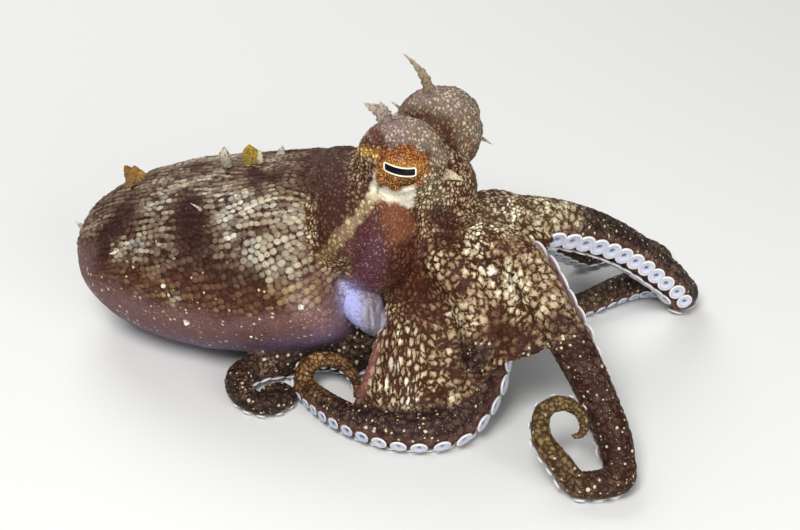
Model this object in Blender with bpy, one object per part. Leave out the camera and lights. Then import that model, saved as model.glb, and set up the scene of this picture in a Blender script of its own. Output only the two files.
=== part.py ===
# Life-size museum model of a veined octopus, sitting on the floor with its head raised and its arms arched
# forwards and curled. Lengths are millimetres until solid_from() turns them into metres. +X is the way the
# animal looks, +Y is its left side and +Z is up. The floor is z = 0.

import math

import bmesh
import bpy
import numpy as np

# Driving dimensions
METRE = 0.001
GAP = 0.3                    # kept between neighbouring nodes
TINY = 1e-9                  # keeps a zero length from being divided by
ASKEW = (0.31, 0.52, 0.79)   # a direction that no axis here runs along
CURVE_STEPS = 16             # between two given points of a curve
SHARP_ANGLE = 50             # degrees: edges that bend more are shaded sharp
SOLVER = "MANIFOLD"          # the exact one leaves open edges where suckers of one arm meet

# Mantle: a long egg lying on its belly, rounded off in front where the head comes out
MANTLE_TOP_RADIUS = 24.3     # half its height at the widest place
MANTLE_WIDTH = 1.12          # width over height
MANTLE_WIDEST_X = -33.0
MANTLE_TAIL = 48.6           # from the widest place to the tail
MANTLE_BLUNT = 2.2           # 2 gives an egg's tail, more gives a blunter one
MANTLE_FRONT = 60.0          # from there to where the egg would close in front
MANTLE_LIP_X = -19.0         # where its edge begins to round in
MANTLE_END_X = -8.0          # where it has closed
MANTLE_SIDES = 20
MANTLE_TAIL_ANGLES = np.linspace(8, 90, 10)         # degrees from its end to its widest ring
MANTLE_LIP_ANGLES = np.linspace(19.5, 78, 4)        # degrees from where the lip begins to its end
MANTLE_AXIS_STEPS = 200
MANTLE_AXIS = [(-82, 27, 18.0), (-56, 18.4, 21.8), (-35, 11.2, 25.4), (-12, 3, 33.0), (8, -4, 40)]

# Head: overlapping egg shapes, each (centre, radii)
NECK = ((-8, 5, 37), (16.5, 19.5, 18.5))
NAPE = ((-14, 4, 42), (11.5, 21.5, 13))
SKULL = ((4, 9, 44.5), (15, 14, 14))
BROWS = [((-3, 6, 48.5), (11, 10.5, 11)), ((3.5, 19, 48), (11, 10.5, 11))]
HUB = ((10, 5, 33), (15.5, 15.5, 11.5))
EYE_DOME_RADIUS = 11.2
DOME_RIGHT = (0.4, 2.8, 54.8)
DOME_LEFT = (9.4, 21.4, 54.2)
EYE_RADIUS = 6.6
EYE_OUT = 5.9                # from the middle of a dome to the middle of its eye
LOOK_RIGHT = (0.03, -0.93, 0.36)
LOOK_LEFT = (0.42, 0.84, 0.34)
LID_RING = 5.2               # radius of the ring of lids
LID_THICK = 1.0
LIPS = ((11, 5.5, 21.9), 4.2, 1.5)

# Funnel: a short flattened cone below the right edge of the mantle
FUNNEL_PATH = [(-11, -7, 24), (-6.5, -12.5, 20.5), (-2.5, -15, 17.5)]
FUNNEL_RADII = (6.2, 4.6, 2.6)
FUNNEL_RINGS = 6
FUNNEL_SIDES = 10
FUNNEL_HOLLOW = 2.0          # depth of its mouth

# Arms: the points that each arm's middle passes through. A height of 0 lays it on the floor.
ARM_ROOT_RADIUS = 6.3
ARM_TIP_RADIUS = 0.55
ARM_TAPER = 0.66             # 1 tapers evenly, less keeps the arm full
ARM_SIDES = 8
RING_STEP = 1.35             # between an arm's rings, over its radius
RING_STEP_LEAST = 2.8
LAST_RING_ROOM = 1.5         # steps that must be left before the last ring for one more to fit
REST_HEIGHT = 1.28           # height of a lying arm's middle over its radius, on its suckers
TOUCHDOWN = 1.0              # how softly an arm's middle comes down to that height
ARM_SAMPLES = 240
BASE_SHARE = 0.36
MIDDLE_SHARE = 0.70
ARMS = {
    "r1": {
        "route": [(15, 4.5, 34), (23, 4.2, 38.2), (33, 6.4, 37.6), (44.5, 12, 32.4), (55, 17, 25.4),
                  (64.5, 20.6, 17), (71.6, 22.6, 9.6), (74.6, 26, 0), (72, 31, 0), (65, 32, 0),
                  (57, 28.4, 0), (49, 22.8, 0), (40.5, 19.6, 0), (33, 22.4, 0), (31, 29, 0), (36, 32.2, 0),
                  (39.6, 28.6, 0), (37.6, 25.4, 0)],
        "oral": [(0.2, -0.4, -0.9), (0, -0.8, -0.6), (0, -0.75, -0.65), (0, -0.1, -1), (0, 0, -1)],
    },
    "r2": {
        "route": [(13, -0.5, 34), (20, -7, 38), (28.6, -13, 36.5), (35.6, -24.6, 30), (41.5, -32, 22),
                  (46.4, -39.5, 14), (49.6, -48.5, 8), (49.4, -56, 0), (43, -58, 0), (36.5, -54.8, 7.5),
                  (32.2, -50.2, 12), (32.7, -46, 16), (37, -45.2, 18), (41.3, -46.6, 16), (41.6, -50, 13.2),
                  (38.8, -51.3, 12.6)],
        "oral": [(0.2, 0.5, -0.8), (0.85, 0.4, -0.4), (0.95, 0.2, -0.3), (0.3, -0.1, -1),
                 (-0.7, 0.3, -0.7), (0, 0.8, 0.5)],
    },
    "r3": {
        "route": [(8.6, -1, 33), (12, -9.5, 34.4), (16.8, -15.6, 29.4), (19.8, -20.4, 21.4),
                  (19.8, -26.6, 12.8), (14.8, -34, 6.6), (7, -38, 0),
                  (-2.3, -37, 0), (-12, -31.5, 0), (-19.8, -22.5, 0),
                  (-23.6, -14.6, 5.6), (-20.4, -11, 7.6), (-14.6, -12.2, 7.4), (-10.8, -17, 5.4),
                  (-10.6, -22, 3.4)],
        "oral": [(0.4, 0.3, -0.8), (0.75, 0.1, -0.6), (0.5, -0.5, -0.75), (-0.2, -0.55, -0.85),
                 (-0.6, -0.45, -0.6), (-0.2, 0.7, -0.4)],
    },
    "r4": {
        "route": [(4, 2.5, 30), (-1.5, -3, 24), (-5.5, -6.5, 14), (-11.5, -5.5, 6), (-19, -3.6, 0),
                  (-27, -6.5, 0), (-34, -8.5, 0), (-39.5, -14, 0), (-38, -21, 0), (-32, -24.5, 0),
                  (-27.6, -20.8, 0), (-29, -15.6, 0), (-33, -15.6, 0), (-34, -18.6, 0)],
        "oral": [(0.4, 0.4, -0.7), (0.3, 0.1, -0.9), (0, 0, -1)],
    },
    "l1": {
        "route": [(15.5, 8.6, 35), (23, 16.4, 34), (31.4, 27.4, 26), (40.6, 38, 15), (49.6, 46, 6),
                  (58.6, 51, 0), (67, 52, 0), (72, 47.6, 0), (70.6, 41.8, 0), (64.6, 41.2, 0), (62, 45.6, 0),
                  (65.4, 48, 0)],
        "oral": [(0, -0.2, -1), (-0.3, -0.4, -0.85), (0, 0, -1)],
    },
    "l2": {
        "route": [(11.5, 12, 34), (14, 21, 33), (18, 32, 25), (23, 44, 14), (27, 54, 5), (26, 63, 0),
                  (18.5, 66.5, 0), (10.5, 63, 0), (7.5, 56, 0), (11.5, 50.5, 0), (17.5, 51.5, 0),
                  (17.8, 56.4, 0), (14.4, 57.4, 0)],
        "oral": [(0.1, -0.3, -0.9), (0, -0.4, -0.9), (0, 0, -1)],
    },
    "l3": {
        "route": [(6.5, 12, 32), (1.5, 19.5, 30), (-3, 29, 20), (-8, 38.5, 9), (-15.5, 47, 0), (-26, 52, 0),
                  (-37, 52, 0), (-46, 49, 0), (-53, 53, 0), (-51, 60, 0), (-44, 61, 0), (-41.4, 57, 0),
                  (-44.6, 54.8, 0)],
        "oral": [(0.1, -0.3, -0.9), (0.3, -0.3, -0.9), (0, 0, -1)],
    },
    "l4": {
        "route": [(4.5, 8.5, 29), (-0.5, 12.5, 21), (-5, 18, 10), (-11, 26, 0), (-18.5, 33, 0),
                  (-28, 38, 0), (-38, 40.5, 0), (-47.5, 40.5, 0), (-56, 43.5, 0), (-63, 42, 0),
                  (-64.5, 36.5, 0), (-60, 34.5, 0)],
        "oral": [(0.2, -0.3, -0.9), (0.2, -0.1, -0.9), (0, 0, -1)],
    },
}

# Web between the arms
WEB_THICK = 2.2
WEB_EDGE_THICK = 1.3
WEB_START = 5.0              # along each arm, inside the hub
WEB_LIFT = 0.3               # how far above the arms' middles the web grows, over the arm's radius
WEB_BULGE_AT = 0.85          # half turns of the sine that its bulge follows from root to edge
WEBS = {   # how far along each of its two arms, how much its edge arches, how far it bulges
    ("r1", "r2"): {"reach": (30, 36), "arch": 0.22, "bulge": 1.5},
    ("r2", "r3"): {"reach": (44, 66), "arch": 0.20, "bulge": 1.5},
    ("r3", "r4"): {"reach": (80, 12), "arch": 0.06, "bulge": 4.0},
    ("r4", "l4"): {"reach": (20, 22), "arch": 0.20, "bulge": 0.0},
    ("l4", "l3"): {"reach": (30, 40), "arch": 0.28, "bulge": 0.5},
    ("l3", "l2"): {"reach": (46, 46), "arch": 0.30, "bulge": 1.5},
    ("l2", "l1"): {"reach": (46, 46), "arch": 0.30, "bulge": 1.5},
    ("l1", "r1"): {"reach": (44, 40), "arch": 0.30, "bulge": 1.5},
}

# The slab that trims what would hang below the floor
FLOOR_REACH = 130
FLOOR_DEPTH = 12

# Suckers
SUCKER_STEP = 15.5           # along each row, where the arm is thickest
SUCKER_STEP_LEAST = 0.45     # share of that step left at the tip
SUCKER_ANGLE = 30            # of each row from the middle of the arm's underside
SUCKER_SHARE = 0.46          # radius over the arm's
SUCKER_STAND = 0.26          # height over the arm's radius
SUCKER_FIRST = 21.0
SUCKER_LAST = 2.0            # from the tip
SUCKER_SIDES = 6
SUCKER_PROFILE = [(-0.9, 0.72), (1.0, 1.0), (1.02, 0.66)]   # height over its height, radius over its radius
SUCKER_CUP = 0.35            # height of the cup's middle over its height
SUCKER_TURN = 0.7            # radians that each is turned for a millimetre along the arm

# Skin flaps: (root, tip, root radius)
FLAP_SIDES = 7
FLAP_RINGS = (-0.25, 0.15, 0.55, 0.85)   # shares of the way from root to tip
FLAP_TAPER = 0.82
FLAP_THICK = 0.55            # thickness over width
FLAP_BEND = 0.5
FLAP_FACING = (0.1, 1.0, 0.2)
HEAD_FLAPS = [
    ((-1.8, 4.5, 64.4), (-8.0, 7, 68.6), 2.4),
    ((7.0, 21.5, 63.4), (0.8, 23, 73.8), 2.6),
    ((10.2, 1.0, 57.0), (14.2, -1.2, 56.4), 1.8),
    ((20.0, 22.5, 57.0), (23.6, 22.6, 55.8), 1.3),
]
MANTLE_FLAPS = [
    ((-66.8, 20.5, 38.0), (-67.4, 21.0, 45.6), 3.0),
    ((-36.8, 11.5, 48.2), (-35.6, 11.5, 54.6), 2.6),
    ((-80.0, 26.0, 21.5), (-85.0, 27.6, 25.0), 1.6),
]

MATERIALS = {
    "mantle_skin": ((0.30, 0.17, 0.12), 0.45),
    "head_skin": ((0.36, 0.20, 0.14), 0.45),
    "arm_skin": ((0.22, 0.12, 0.11), 0.42),
    "web_skin": ((0.42, 0.28, 0.19), 0.45),
    "funnel_skin": ((0.52, 0.50, 0.66), 0.4),
    "eye": ((0.55, 0.30, 0.10), 0.15),
}


def unit(v):
    v = np.asarray(v, float)
    return v / np.maximum(np.linalg.norm(v, axis=-1, keepdims=True), TINY)


def clear_scene():
    for obj in list(bpy.data.objects):
        bpy.data.objects.remove(obj, do_unlink=True)


def material(name):
    made = bpy.data.materials.get(name)
    if made is None:
        colour, roughness = MATERIALS[name]
        made = bpy.data.materials.new(name)
        made.use_nodes = True
        surface = made.node_tree.nodes["Principled BSDF"]
        surface.inputs["Base Color"].default_value = (*colour, 1)
        surface.inputs["Roughness"].default_value = roughness
        surface.inputs["Metallic"].default_value = 0.0
    return made


def solid_from(name, points, faces, finish=None):
    """An object from points in millimetres, with its faces turned outwards."""
    mesh = bpy.data.meshes.new(name)
    mesh.from_pydata((np.asarray(points, float) * METRE).tolist(), [], [list(f) for f in faces])
    shape = bmesh.new()
    shape.from_mesh(mesh)
    bmesh.ops.recalc_face_normals(shape, faces=shape.faces)
    shape.to_mesh(mesh)
    shape.free()
    obj = bpy.data.objects.new(name, mesh)
    bpy.context.scene.collection.objects.link(obj)
    if finish:
        mesh.materials.append(material(finish))
    return obj


def loft_faces(rings, sides):
    """Side faces between rings of points, and a fan of triangles to a point at each end."""
    faces = []
    for i in range(rings - 1):
        for j in range(sides):
            k = (j + 1) % sides
            a, b, c, d = i * sides + j, i * sides + k, (i + 1) * sides + k, (i + 1) * sides + j
            faces += [(a, b, c), (a, c, d)]
    first, last = rings * sides, rings * sides + 1
    for j in range(sides):
        k = (j + 1) % sides
        faces.append((first, k, j))
        faces.append((last, (rings - 1) * sides + j, (rings - 1) * sides + k))
    return faces


def loft(name, rings, first, last, finish=None):
    """A closed solid through rings of points, with its end points first and last."""
    rings = np.asarray(rings, float)
    count, sides = rings.shape[:2]
    points = np.vstack([rings.reshape(-1, 3), [first], [last]])
    return solid_from(name, points, loft_faces(count, sides), finish)


def smooth_curve(points, count):
    """Points spread evenly along a centripetal Catmull-Rom curve through the given ones."""
    p = np.asarray(points, float)
    p = np.vstack([2 * p[0] - p[1], p, 2 * p[-1] - p[-2]])
    found = []
    for i in range(1, len(p) - 2):
        gaps = np.linalg.norm(np.diff(p[i - 1:i + 3], axis=0), axis=1) ** 0.5
        knots = np.concatenate([[0], np.cumsum(gaps)])
        u = np.linspace(knots[1], knots[2], CURVE_STEPS, endpoint=False)[:, None]

        def mix(a, b, k, m):
            return a * (knots[m] - u) / (knots[m] - knots[k]) + b * (u - knots[k]) / (knots[m] - knots[k])

        a1, a2, a3 = (mix(p[i - 1 + n], p[i + n], n, n + 1) for n in range(3))
        b1, b2 = mix(a1, a2, 0, 2), mix(a2, a3, 1, 3)
        found.append(mix(b1, b2, 1, 2))
    fine = np.vstack([*found, p[-2]])
    along = np.concatenate([[0], np.cumsum(np.linalg.norm(np.diff(fine, axis=0), axis=1))])
    at = np.linspace(0, along[-1], count)
    return np.stack([np.interp(at, along, fine[:, k]) for k in range(fine.shape[1])], axis=1)


class Arm:
    """One arm: its middle, its radius and the way its suckers face, at even places along it."""

    def __init__(self, name):
        facts = ARMS[name]
        self.name = name
        route = smooth_curve(facts["route"], ARM_SAMPLES)
        share = np.linspace(0, 1, ARM_SAMPLES)
        self.radius = ARM_TIP_RADIUS + (ARM_ROOT_RADIUS - ARM_TIP_RADIUS) * (1 - share) ** ARM_TAPER
        lying = REST_HEIGHT * self.radius
        above = route[:, 2] - lying
        route[:, 2] = lying + (above + np.sqrt(above ** 2 + TOUCHDOWN ** 2)) / 2 - TOUCHDOWN / 4
        self.path = route
        step = np.linalg.norm(np.diff(route, axis=0), axis=1)
        self.along = np.concatenate([[0], np.cumsum(step)])
        self.length = self.along[-1]
        self.tangent = unit(np.gradient(route, axis=0))
        oral = smooth_curve(facts["oral"], ARM_SAMPLES)
        oral -= (oral * self.tangent).sum(1, keepdims=True) * self.tangent
        self.oral = unit(oral)
        self.side = np.cross(self.tangent, self.oral)
        self.up = self.untwisted()

    def untwisted(self):
        """A direction across the arm that turns as little as it can along it."""
        up = [self.oral[0]]
        for i in range(1, ARM_SAMPLES):
            across = up[-1] - self.tangent[i] * np.dot(up[-1], self.tangent[i])
            up.append(unit(across))
        return np.array(up)

    def at(self, s):
        """Middle, radius, and the tangent, oral, side and up directions at distances s along the arm."""
        s = np.atleast_1d(np.asarray(s, float))

        def read(values):
            return np.stack([np.interp(s, self.along, values[:, k]) for k in range(3)], axis=1)

        return (read(self.path), np.interp(s, self.along, self.radius),
                unit(read(self.tangent)), unit(read(self.oral)), unit(read(self.side)), unit(read(self.up)))

    def rings(self, start, end, grow=0.0):
        """Rings of the arm's tube from start to end, closer together as it thins."""
        s = [start]
        while True:
            step = max(RING_STEP_LEAST, RING_STEP * float(self.at(s[-1])[1][0]))
            if s[-1] + LAST_RING_ROOM * step > end:
                break
            s.append(s[-1] + step)
        s.append(end)
        middle, radius, tangent, _, _, up = self.at(s)
        across = np.cross(tangent, up)
        middle[0] += tangent[0] * (GAP / 2 - grow)
        middle[-1] -= tangent[-1] * (GAP / 2 - grow)
        turn = np.linspace(0, 2 * math.pi, ARM_SIDES, endpoint=False)
        out = np.cos(turn)[None, :, None] * up[:, None] + np.sin(turn)[None, :, None] * across[:, None]
        return middle, middle[:, None] + (radius + grow)[:, None, None] * out


def arm_piece(arm, name, start, end, finish, grow=0.0, tip=False):
    middle, rings = arm.rings(start, end, grow)
    last = middle[-1]
    if tip:
        last = middle[-1] + arm.at(end)[2][0] * arm.radius[-1]
    return loft(name, rings, middle[0], last, finish)


def sucker(centre, axis, radius, stand, turned):
    """A short cup that flares to its rim, with its root sunk into the arm."""
    axis = unit(axis)
    across = unit(np.cross(axis, ASKEW))
    up = np.cross(axis, across)
    angles = turned + np.linspace(0, 2 * math.pi, SUCKER_SIDES, endpoint=False)
    ring = np.cos(angles)[:, None] * across + np.sin(angles)[:, None] * up
    rings = [centre + axis * height * stand + ring * reach * radius for height, reach in SUCKER_PROFILE]
    return rings, centre + axis * SUCKER_PROFILE[0][0] * stand, centre + axis * SUCKER_CUP * stand


def join_all(target, pieces, operation="UNION"):
    """One Boolean of a collection of closed meshes with the target, applied, with the pieces removed."""
    if not pieces:
        return
    group = bpy.data.collections.new(target.name + "_pieces")
    bpy.context.scene.collection.children.link(group)
    for piece in pieces:
        bpy.context.scene.collection.objects.unlink(piece)
        group.objects.link(piece)
    step = target.modifiers.new("pieces", "BOOLEAN")
    step.operation = operation
    step.operand_type = "COLLECTION"
    step.collection = group
    step.solver = SOLVER
    apply_modifiers(target)
    for piece in pieces:
        bpy.data.objects.remove(piece, do_unlink=True)
    bpy.data.collections.remove(group)


def apply_modifiers(obj):
    bpy.context.view_layer.update()
    graph = bpy.context.evaluated_depsgraph_get()
    made = bpy.data.meshes.new_from_object(obj.evaluated_get(graph), depsgraph=graph)
    old = obj.data
    obj.modifiers.clear()
    obj.data = made
    made.name = obj.name
    bpy.data.meshes.remove(old)


def copy_of(obj, name):
    made = bpy.data.objects.new(name, obj.data.copy())
    bpy.context.scene.collection.objects.link(made)
    return made


def cut(target, cutters):
    """Takes copies of the cutters out of the target."""
    join_all(target, [copy_of(c, c.name + "_cut") for c in cutters], "DIFFERENCE")


def keep_largest(obj):
    """Drops loose scraps: only the closed surface that fills the largest box stays."""
    shape = bmesh.new()
    shape.from_mesh(obj.data)
    shape.verts.ensure_lookup_table()
    left = set(range(len(shape.verts)))
    groups = []
    while left:
        stack = [left.pop()]
        group = []
        while stack:
            here = stack.pop()
            group.append(here)
            for edge in shape.verts[here].link_edges:
                other = edge.other_vert(shape.verts[here]).index
                if other in left:
                    left.discard(other)
                    stack.append(other)
        groups.append(group)
    if len(groups) > 1:
        def box(group):
            p = np.array([shape.verts[i].co for i in group])
            return float(np.prod(p.max(0) - p.min(0)))

        groups.sort(key=box, reverse=True)
        drop = [shape.verts[i] for group in groups[1:] for i in group]
        bmesh.ops.delete(shape, geom=drop, context="VERTS")
        shape.to_mesh(obj.data)
    shape.free()


def egg(name, centre, radii, grow=0.0, finish=None, rings=8, sides=14):
    """An ellipsoid as a loft along Z."""
    down = np.linspace(0, math.pi, rings + 2)[1:-1]
    turn = np.linspace(0, 2 * math.pi, sides, endpoint=False)
    radii = np.asarray(radii, float) + grow
    ring = np.stack([np.cos(turn), np.sin(turn), np.zeros(sides)], axis=1)
    points = [np.asarray(centre) + radii * (ring * math.sin(a) + (0, 0, math.cos(a))) for a in down]
    top, bottom = np.asarray(centre) + (0, 0, radii[2]), np.asarray(centre) - (0, 0, radii[2])
    return loft(name, points, top, bottom, finish)


def mantle_axis(x):
    line = smooth_curve(MANTLE_AXIS, MANTLE_AXIS_STEPS)
    return np.stack([x, np.interp(x, line[:, 0], line[:, 1]), np.interp(x, line[:, 0], line[:, 2])], axis=1)


def mantle_radius(x):
    behind = x < MANTLE_WIDEST_X
    reach = np.where(behind, MANTLE_TAIL, MANTLE_FRONT)
    power = np.where(behind, MANTLE_BLUNT, 2.0)
    inside = np.clip(1 - np.abs((x - MANTLE_WIDEST_X) / reach) ** power, 0, 1)
    radius = MANTLE_TOP_RADIUS * inside ** (1 / power)
    lip = np.clip((x - MANTLE_LIP_X) / (MANTLE_END_X - MANTLE_LIP_X), 0, 1)
    return radius * (1 - lip ** MANTLE_BLUNT) ** (1 / MANTLE_BLUNT)


def mantle(grow=0.0, name="mantle", finish="mantle_skin"):
    """The egg's rings stand square to its axis, closer together towards both ends."""
    backwards = np.cos(np.radians(MANTLE_TAIL_ANGLES)) ** (2 / MANTLE_BLUNT)
    level = np.linspace(MANTLE_WIDEST_X, MANTLE_LIP_X, 4)[1:]
    forwards = np.sin(np.radians(MANTLE_LIP_ANGLES)) ** (2 / MANTLE_BLUNT)
    x = np.concatenate([MANTLE_WIDEST_X - MANTLE_TAIL * backwards, level,
                        MANTLE_LIP_X + (MANTLE_END_X - MANTLE_LIP_X) * forwards])
    middle = mantle_axis(x)
    tangent = unit(np.gradient(middle, axis=0))
    across = unit(np.cross(tangent, (0, 0, 1)))
    up = np.cross(across, tangent)
    turn = np.linspace(0, 2 * math.pi, MANTLE_SIDES, endpoint=False)[:, None]
    radius = mantle_radius(x) + grow
    rings = [middle[i] + radius[i] * (MANTLE_WIDTH * np.cos(turn) * across[i] + np.sin(turn) * up[i])
             for i in range(len(x))]
    tail = middle[0] - tangent[0] * (MANTLE_TAIL * (1 - backwards[0]) + grow)
    front = mantle_axis(np.array([MANTLE_END_X + grow]))[0]
    return loft(name, rings, tail, front, finish)


def ring_round(name, centre, axis, radius, thick, grow=0.0, finish=None, around=13, sides=5):
    """A plain torus."""
    axis = unit(axis)
    across = unit(np.cross(axis, ASKEW))
    up = np.cross(axis, across)
    a = np.linspace(0, 2 * math.pi, around, endpoint=False)[:, None, None]
    b = np.linspace(0, 2 * math.pi, sides, endpoint=False)[None, :, None]
    out = np.cos(a) * across + np.sin(a) * up
    points = centre + out * (radius + (thick + grow) * np.cos(b)) + axis * (thick + grow) * np.sin(b)
    faces = []
    for i in range(around):
        for j in range(sides):
            k, m = (i + 1) % around, (j + 1) % sides
            a, b, c, d = i * sides + j, i * sides + m, k * sides + m, k * sides + j
            faces += [(a, b, c), (a, c, d)]
    return solid_from(name, points.reshape(-1, 3), faces, finish)


def flap(name, root, tip, radius):
    """A small pointed fold of skin: a flat cone that leans a little to one side."""
    root, tip = np.asarray(root, float), np.asarray(tip, float)
    axis = unit(tip - root)
    across = unit(np.cross(axis, FLAP_FACING))
    up = np.cross(axis, across)
    turn = np.linspace(0, 2 * math.pi, FLAP_SIDES, endpoint=False)[:, None]
    rings = []
    for share in FLAP_RINGS:
        width = radius * (1.0 - FLAP_TAPER * max(share, 0.0))
        ring = np.cos(turn) * across * width + np.sin(turn) * up * width * FLAP_THICK
        rings.append(root + (tip - root) * share + across * FLAP_BEND * math.sin(math.pi * share) + ring)
    return loft(name, rings, rings[0].mean(0), tip)


def eye_centre(dome, look):
    return np.asarray(dome) + unit(look) * EYE_OUT


def head_shapes(grow=0.0):
    shapes = [egg("shape", *facts, grow) for facts in (NECK, NAPE, SKULL, HUB, *BROWS)]
    for dome in (DOME_RIGHT, DOME_LEFT):
        shapes.append(egg("shape", dome, (EYE_DOME_RADIUS,) * 3, grow, rings=10, sides=16))
    shapes.append(ring_round("lips", np.asarray(LIPS[0]), (0, 0, 1), LIPS[1], LIPS[2], grow))
    return shapes


def eyes(prefix, grow=0.0):
    made = []
    for side, dome, look in (("right", DOME_RIGHT, LOOK_RIGHT), ("left", DOME_LEFT, LOOK_LEFT)):
        made.append(egg(prefix + side, eye_centre(dome, look), (EYE_RADIUS,) * 3, grow, "eye"))
    return made


def head(rooms):
    shapes = head_shapes()
    node = shapes.pop(0)
    node.name = "head"
    node.data.materials.append(material("head_skin"))
    for dome, look in ((DOME_RIGHT, LOOK_RIGHT), (DOME_LEFT, LOOK_LEFT)):
        rim = math.sqrt(EYE_DOME_RADIUS ** 2 - LID_RING ** 2)
        shapes.append(ring_round("lid", np.asarray(dome) + unit(look) * rim, look, LID_RING, LID_THICK))
    shapes += [flap("flap", *facts) for facts in HEAD_FLAPS]
    join_all(node, shapes)
    rooms.clear(node)
    keep_largest(node)
    return node


def mantle_node():
    node = mantle()
    join_all(node, [flap("flap", *facts) for facts in MANTLE_FLAPS])
    keep_largest(node)
    return node


def funnel(grow=0.0):
    path = smooth_curve(FUNNEL_PATH, FUNNEL_RINGS)
    given = np.linspace(0, 1, len(FUNNEL_RADII))
    radii = np.interp(np.linspace(0, 1, FUNNEL_RINGS), given, FUNNEL_RADII) + grow
    tangent = unit(np.gradient(path, axis=0))
    path[0] -= tangent[0] * grow
    path[-1] += tangent[-1] * grow
    across = unit(np.cross(tangent, (0, 0, 1)))
    up = np.cross(across, tangent)
    turn = np.linspace(0, 2 * math.pi, FUNNEL_SIDES, endpoint=False)[:, None]
    rings = [path[i] + radii[i] * (np.cos(turn) * across[i] + np.sin(turn) * up[i])
             for i in range(FUNNEL_RINGS)]
    return loft("funnel", rings, path[0], path[-1] - tangent[-1] * (FUNNEL_HOLLOW - grow), "funnel_skin")


def web(name, arms, facts, grow=0.0, along=9, across=7):
    """A sheet stretched from arm to arm. u runs out along the arms and t from one arm to the other."""
    u, t = np.meshgrid(np.linspace(0, 1, along), np.linspace(0, 1, across), indexing="ij")
    belly = 4 * t * (1 - t)
    edges, outwards = [], []
    for arm, reach in zip(arms, facts["reach"]):
        s = WEB_START + (reach - WEB_START) * u * (1 - facts["arch"] * belly)
        middle, radius, _, oral, _, _ = arm.at(s.ravel())
        edges.append((middle - oral * (WEB_LIFT * radius)[:, None]).reshape(along, across, 3))
        outwards.append(-oral.reshape(along, across, 3))
    out = unit(outwards[0] + outwards[1])
    sheet = edges[0] * (1 - t)[..., None] + edges[1] * t[..., None]
    sheet += out * (facts["bulge"] * belly * np.sin(WEB_BULGE_AT * math.pi * u))[..., None]
    normal = unit(np.cross(np.gradient(sheet, axis=0), np.gradient(sheet, axis=1)))
    half = (WEB_THICK + (WEB_EDGE_THICK - WEB_THICK) * u)[..., None] / 2 + grow
    points = np.vstack([(sheet + normal * half).reshape(-1, 3), (sheet - normal * half).reshape(-1, 3)])
    faces = []
    low = along * across
    for i in range(along - 1):
        for j in range(across - 1):
            a, b = i * across + j, i * across + j + 1
            c, d = b + across, a + across
            faces += [(a, b, c), (a, c, d), (low + a, low + c, low + b), (low + a, low + d, low + c)]
    rim = list(range(across))
    rim += [i * across + across - 1 for i in range(1, along)]
    rim += [(along - 1) * across + j for j in range(across - 2, -1, -1)]
    rim += [i * across for i in range(along - 2, 0, -1)]
    for a, b in zip(rim, rim[1:] + rim[:1]):
        faces += [(a, low + a, low + b), (a, low + b, b)]
    return solid_from(name, points, faces, "web_skin")


def arm_suckers(arm, start, end):
    """Two staggered rows of cups on the underside, from the web to the tip, each with its grown copy."""
    made = []
    s, side = SUCKER_FIRST, 1
    while s < arm.length - SUCKER_LAST:
        middle, radius, _, oral, across, _ = (value[0] for value in arm.at(s))
        reach = SUCKER_SHARE * radius
        if start + reach < s < end - reach:
            lean = math.radians(SUCKER_ANGLE) * side
            axis = oral * math.cos(lean) + across * math.sin(lean)
            skin = middle + axis * radius
            stand = SUCKER_STAND * radius
            made.append([loft("sucker", *sucker(skin, axis, reach + grow, stand + grow, SUCKER_TURN * s))
                         for grow in (0.0, GAP)])
        side = -side
        closer = SUCKER_STEP_LEAST + (1 - SUCKER_STEP_LEAST) * radius / ARM_ROOT_RADIUS
        s += SUCKER_STEP / 2 * closer
    return made


def floor_room():
    """A slab under the floor. What it takes away leaves small flats that the animal rests on."""
    side = (-FLOOR_REACH, FLOOR_REACH)
    corners = [(x, y, z) for x in side for y in side for z in (-FLOOR_DEPTH, 0)]
    faces = [(0, 1, 3, 2), (4, 6, 7, 5), (0, 4, 5, 1), (2, 3, 7, 6), (0, 2, 6, 4), (1, 5, 7, 3)]
    return solid_from("floor_room", corners, faces)


def box_of(obj):
    points = np.array([v.co for v in obj.data.vertices])
    return points.min(0), points.max(0)


class Rooms:
    """Grown copies of what is already there, which later pieces are cut clear of."""

    def __init__(self):
        self.held = []

    def add(self, owner, *objects):
        self.held += [(owner, obj, box_of(obj)) for obj in objects]

    def clear(self, target, owner=None):
        """Cuts every room that the target may touch out of it, apart from its owner's own."""
        low, high = box_of(target)
        cutters = [obj for whose, obj, (a, b) in self.held
                   if whose != owner and (a < high).all() and (low < b).all()]
        cut(target, cutters)
        return bool(cutters)

    def remove(self):
        for _, obj, _ in self.held:
            bpy.data.objects.remove(obj, do_unlink=True)


def arm_pieces(arm, rooms):
    """The arm's three lengths, with what lies in the way cut out, and a room for each."""
    ends = [0.0, BASE_SHARE * arm.length, MIDDLE_SHARE * arm.length, arm.length]
    made = []
    for number, length in enumerate(("base", "middle", "tip")):
        span = ends[number], ends[number + 1]
        node = arm_piece(arm, f"arm_{arm.name}_{length}", *span, "arm_skin", tip=number == 2)
        rooms.clear(node, arm.name)
        keep_largest(node)
        made.append((node, span))
    for node, span in made:
        rooms.add(node.name, arm_piece(arm, "room", *span, None, GAP, tip=node is made[-1][0]))
    return made


def add_suckers(arm, node, span, rooms):
    made = []
    own = []
    for shape, grown in arm_suckers(arm, *span):
        rooms.clear(shape, node.name)
        keep_largest(shape)
        made.append(shape)
        own.append(grown)
    join_all(node, made)
    keep_largest(node)
    rooms.add(node.name, *own)


def trim_to_floor(node):
    if box_of(node)[0][2] < 0:
        floor = floor_room()
        cut(node, [floor])
        bpy.data.objects.remove(floor, do_unlink=True)
        keep_largest(node)


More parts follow.
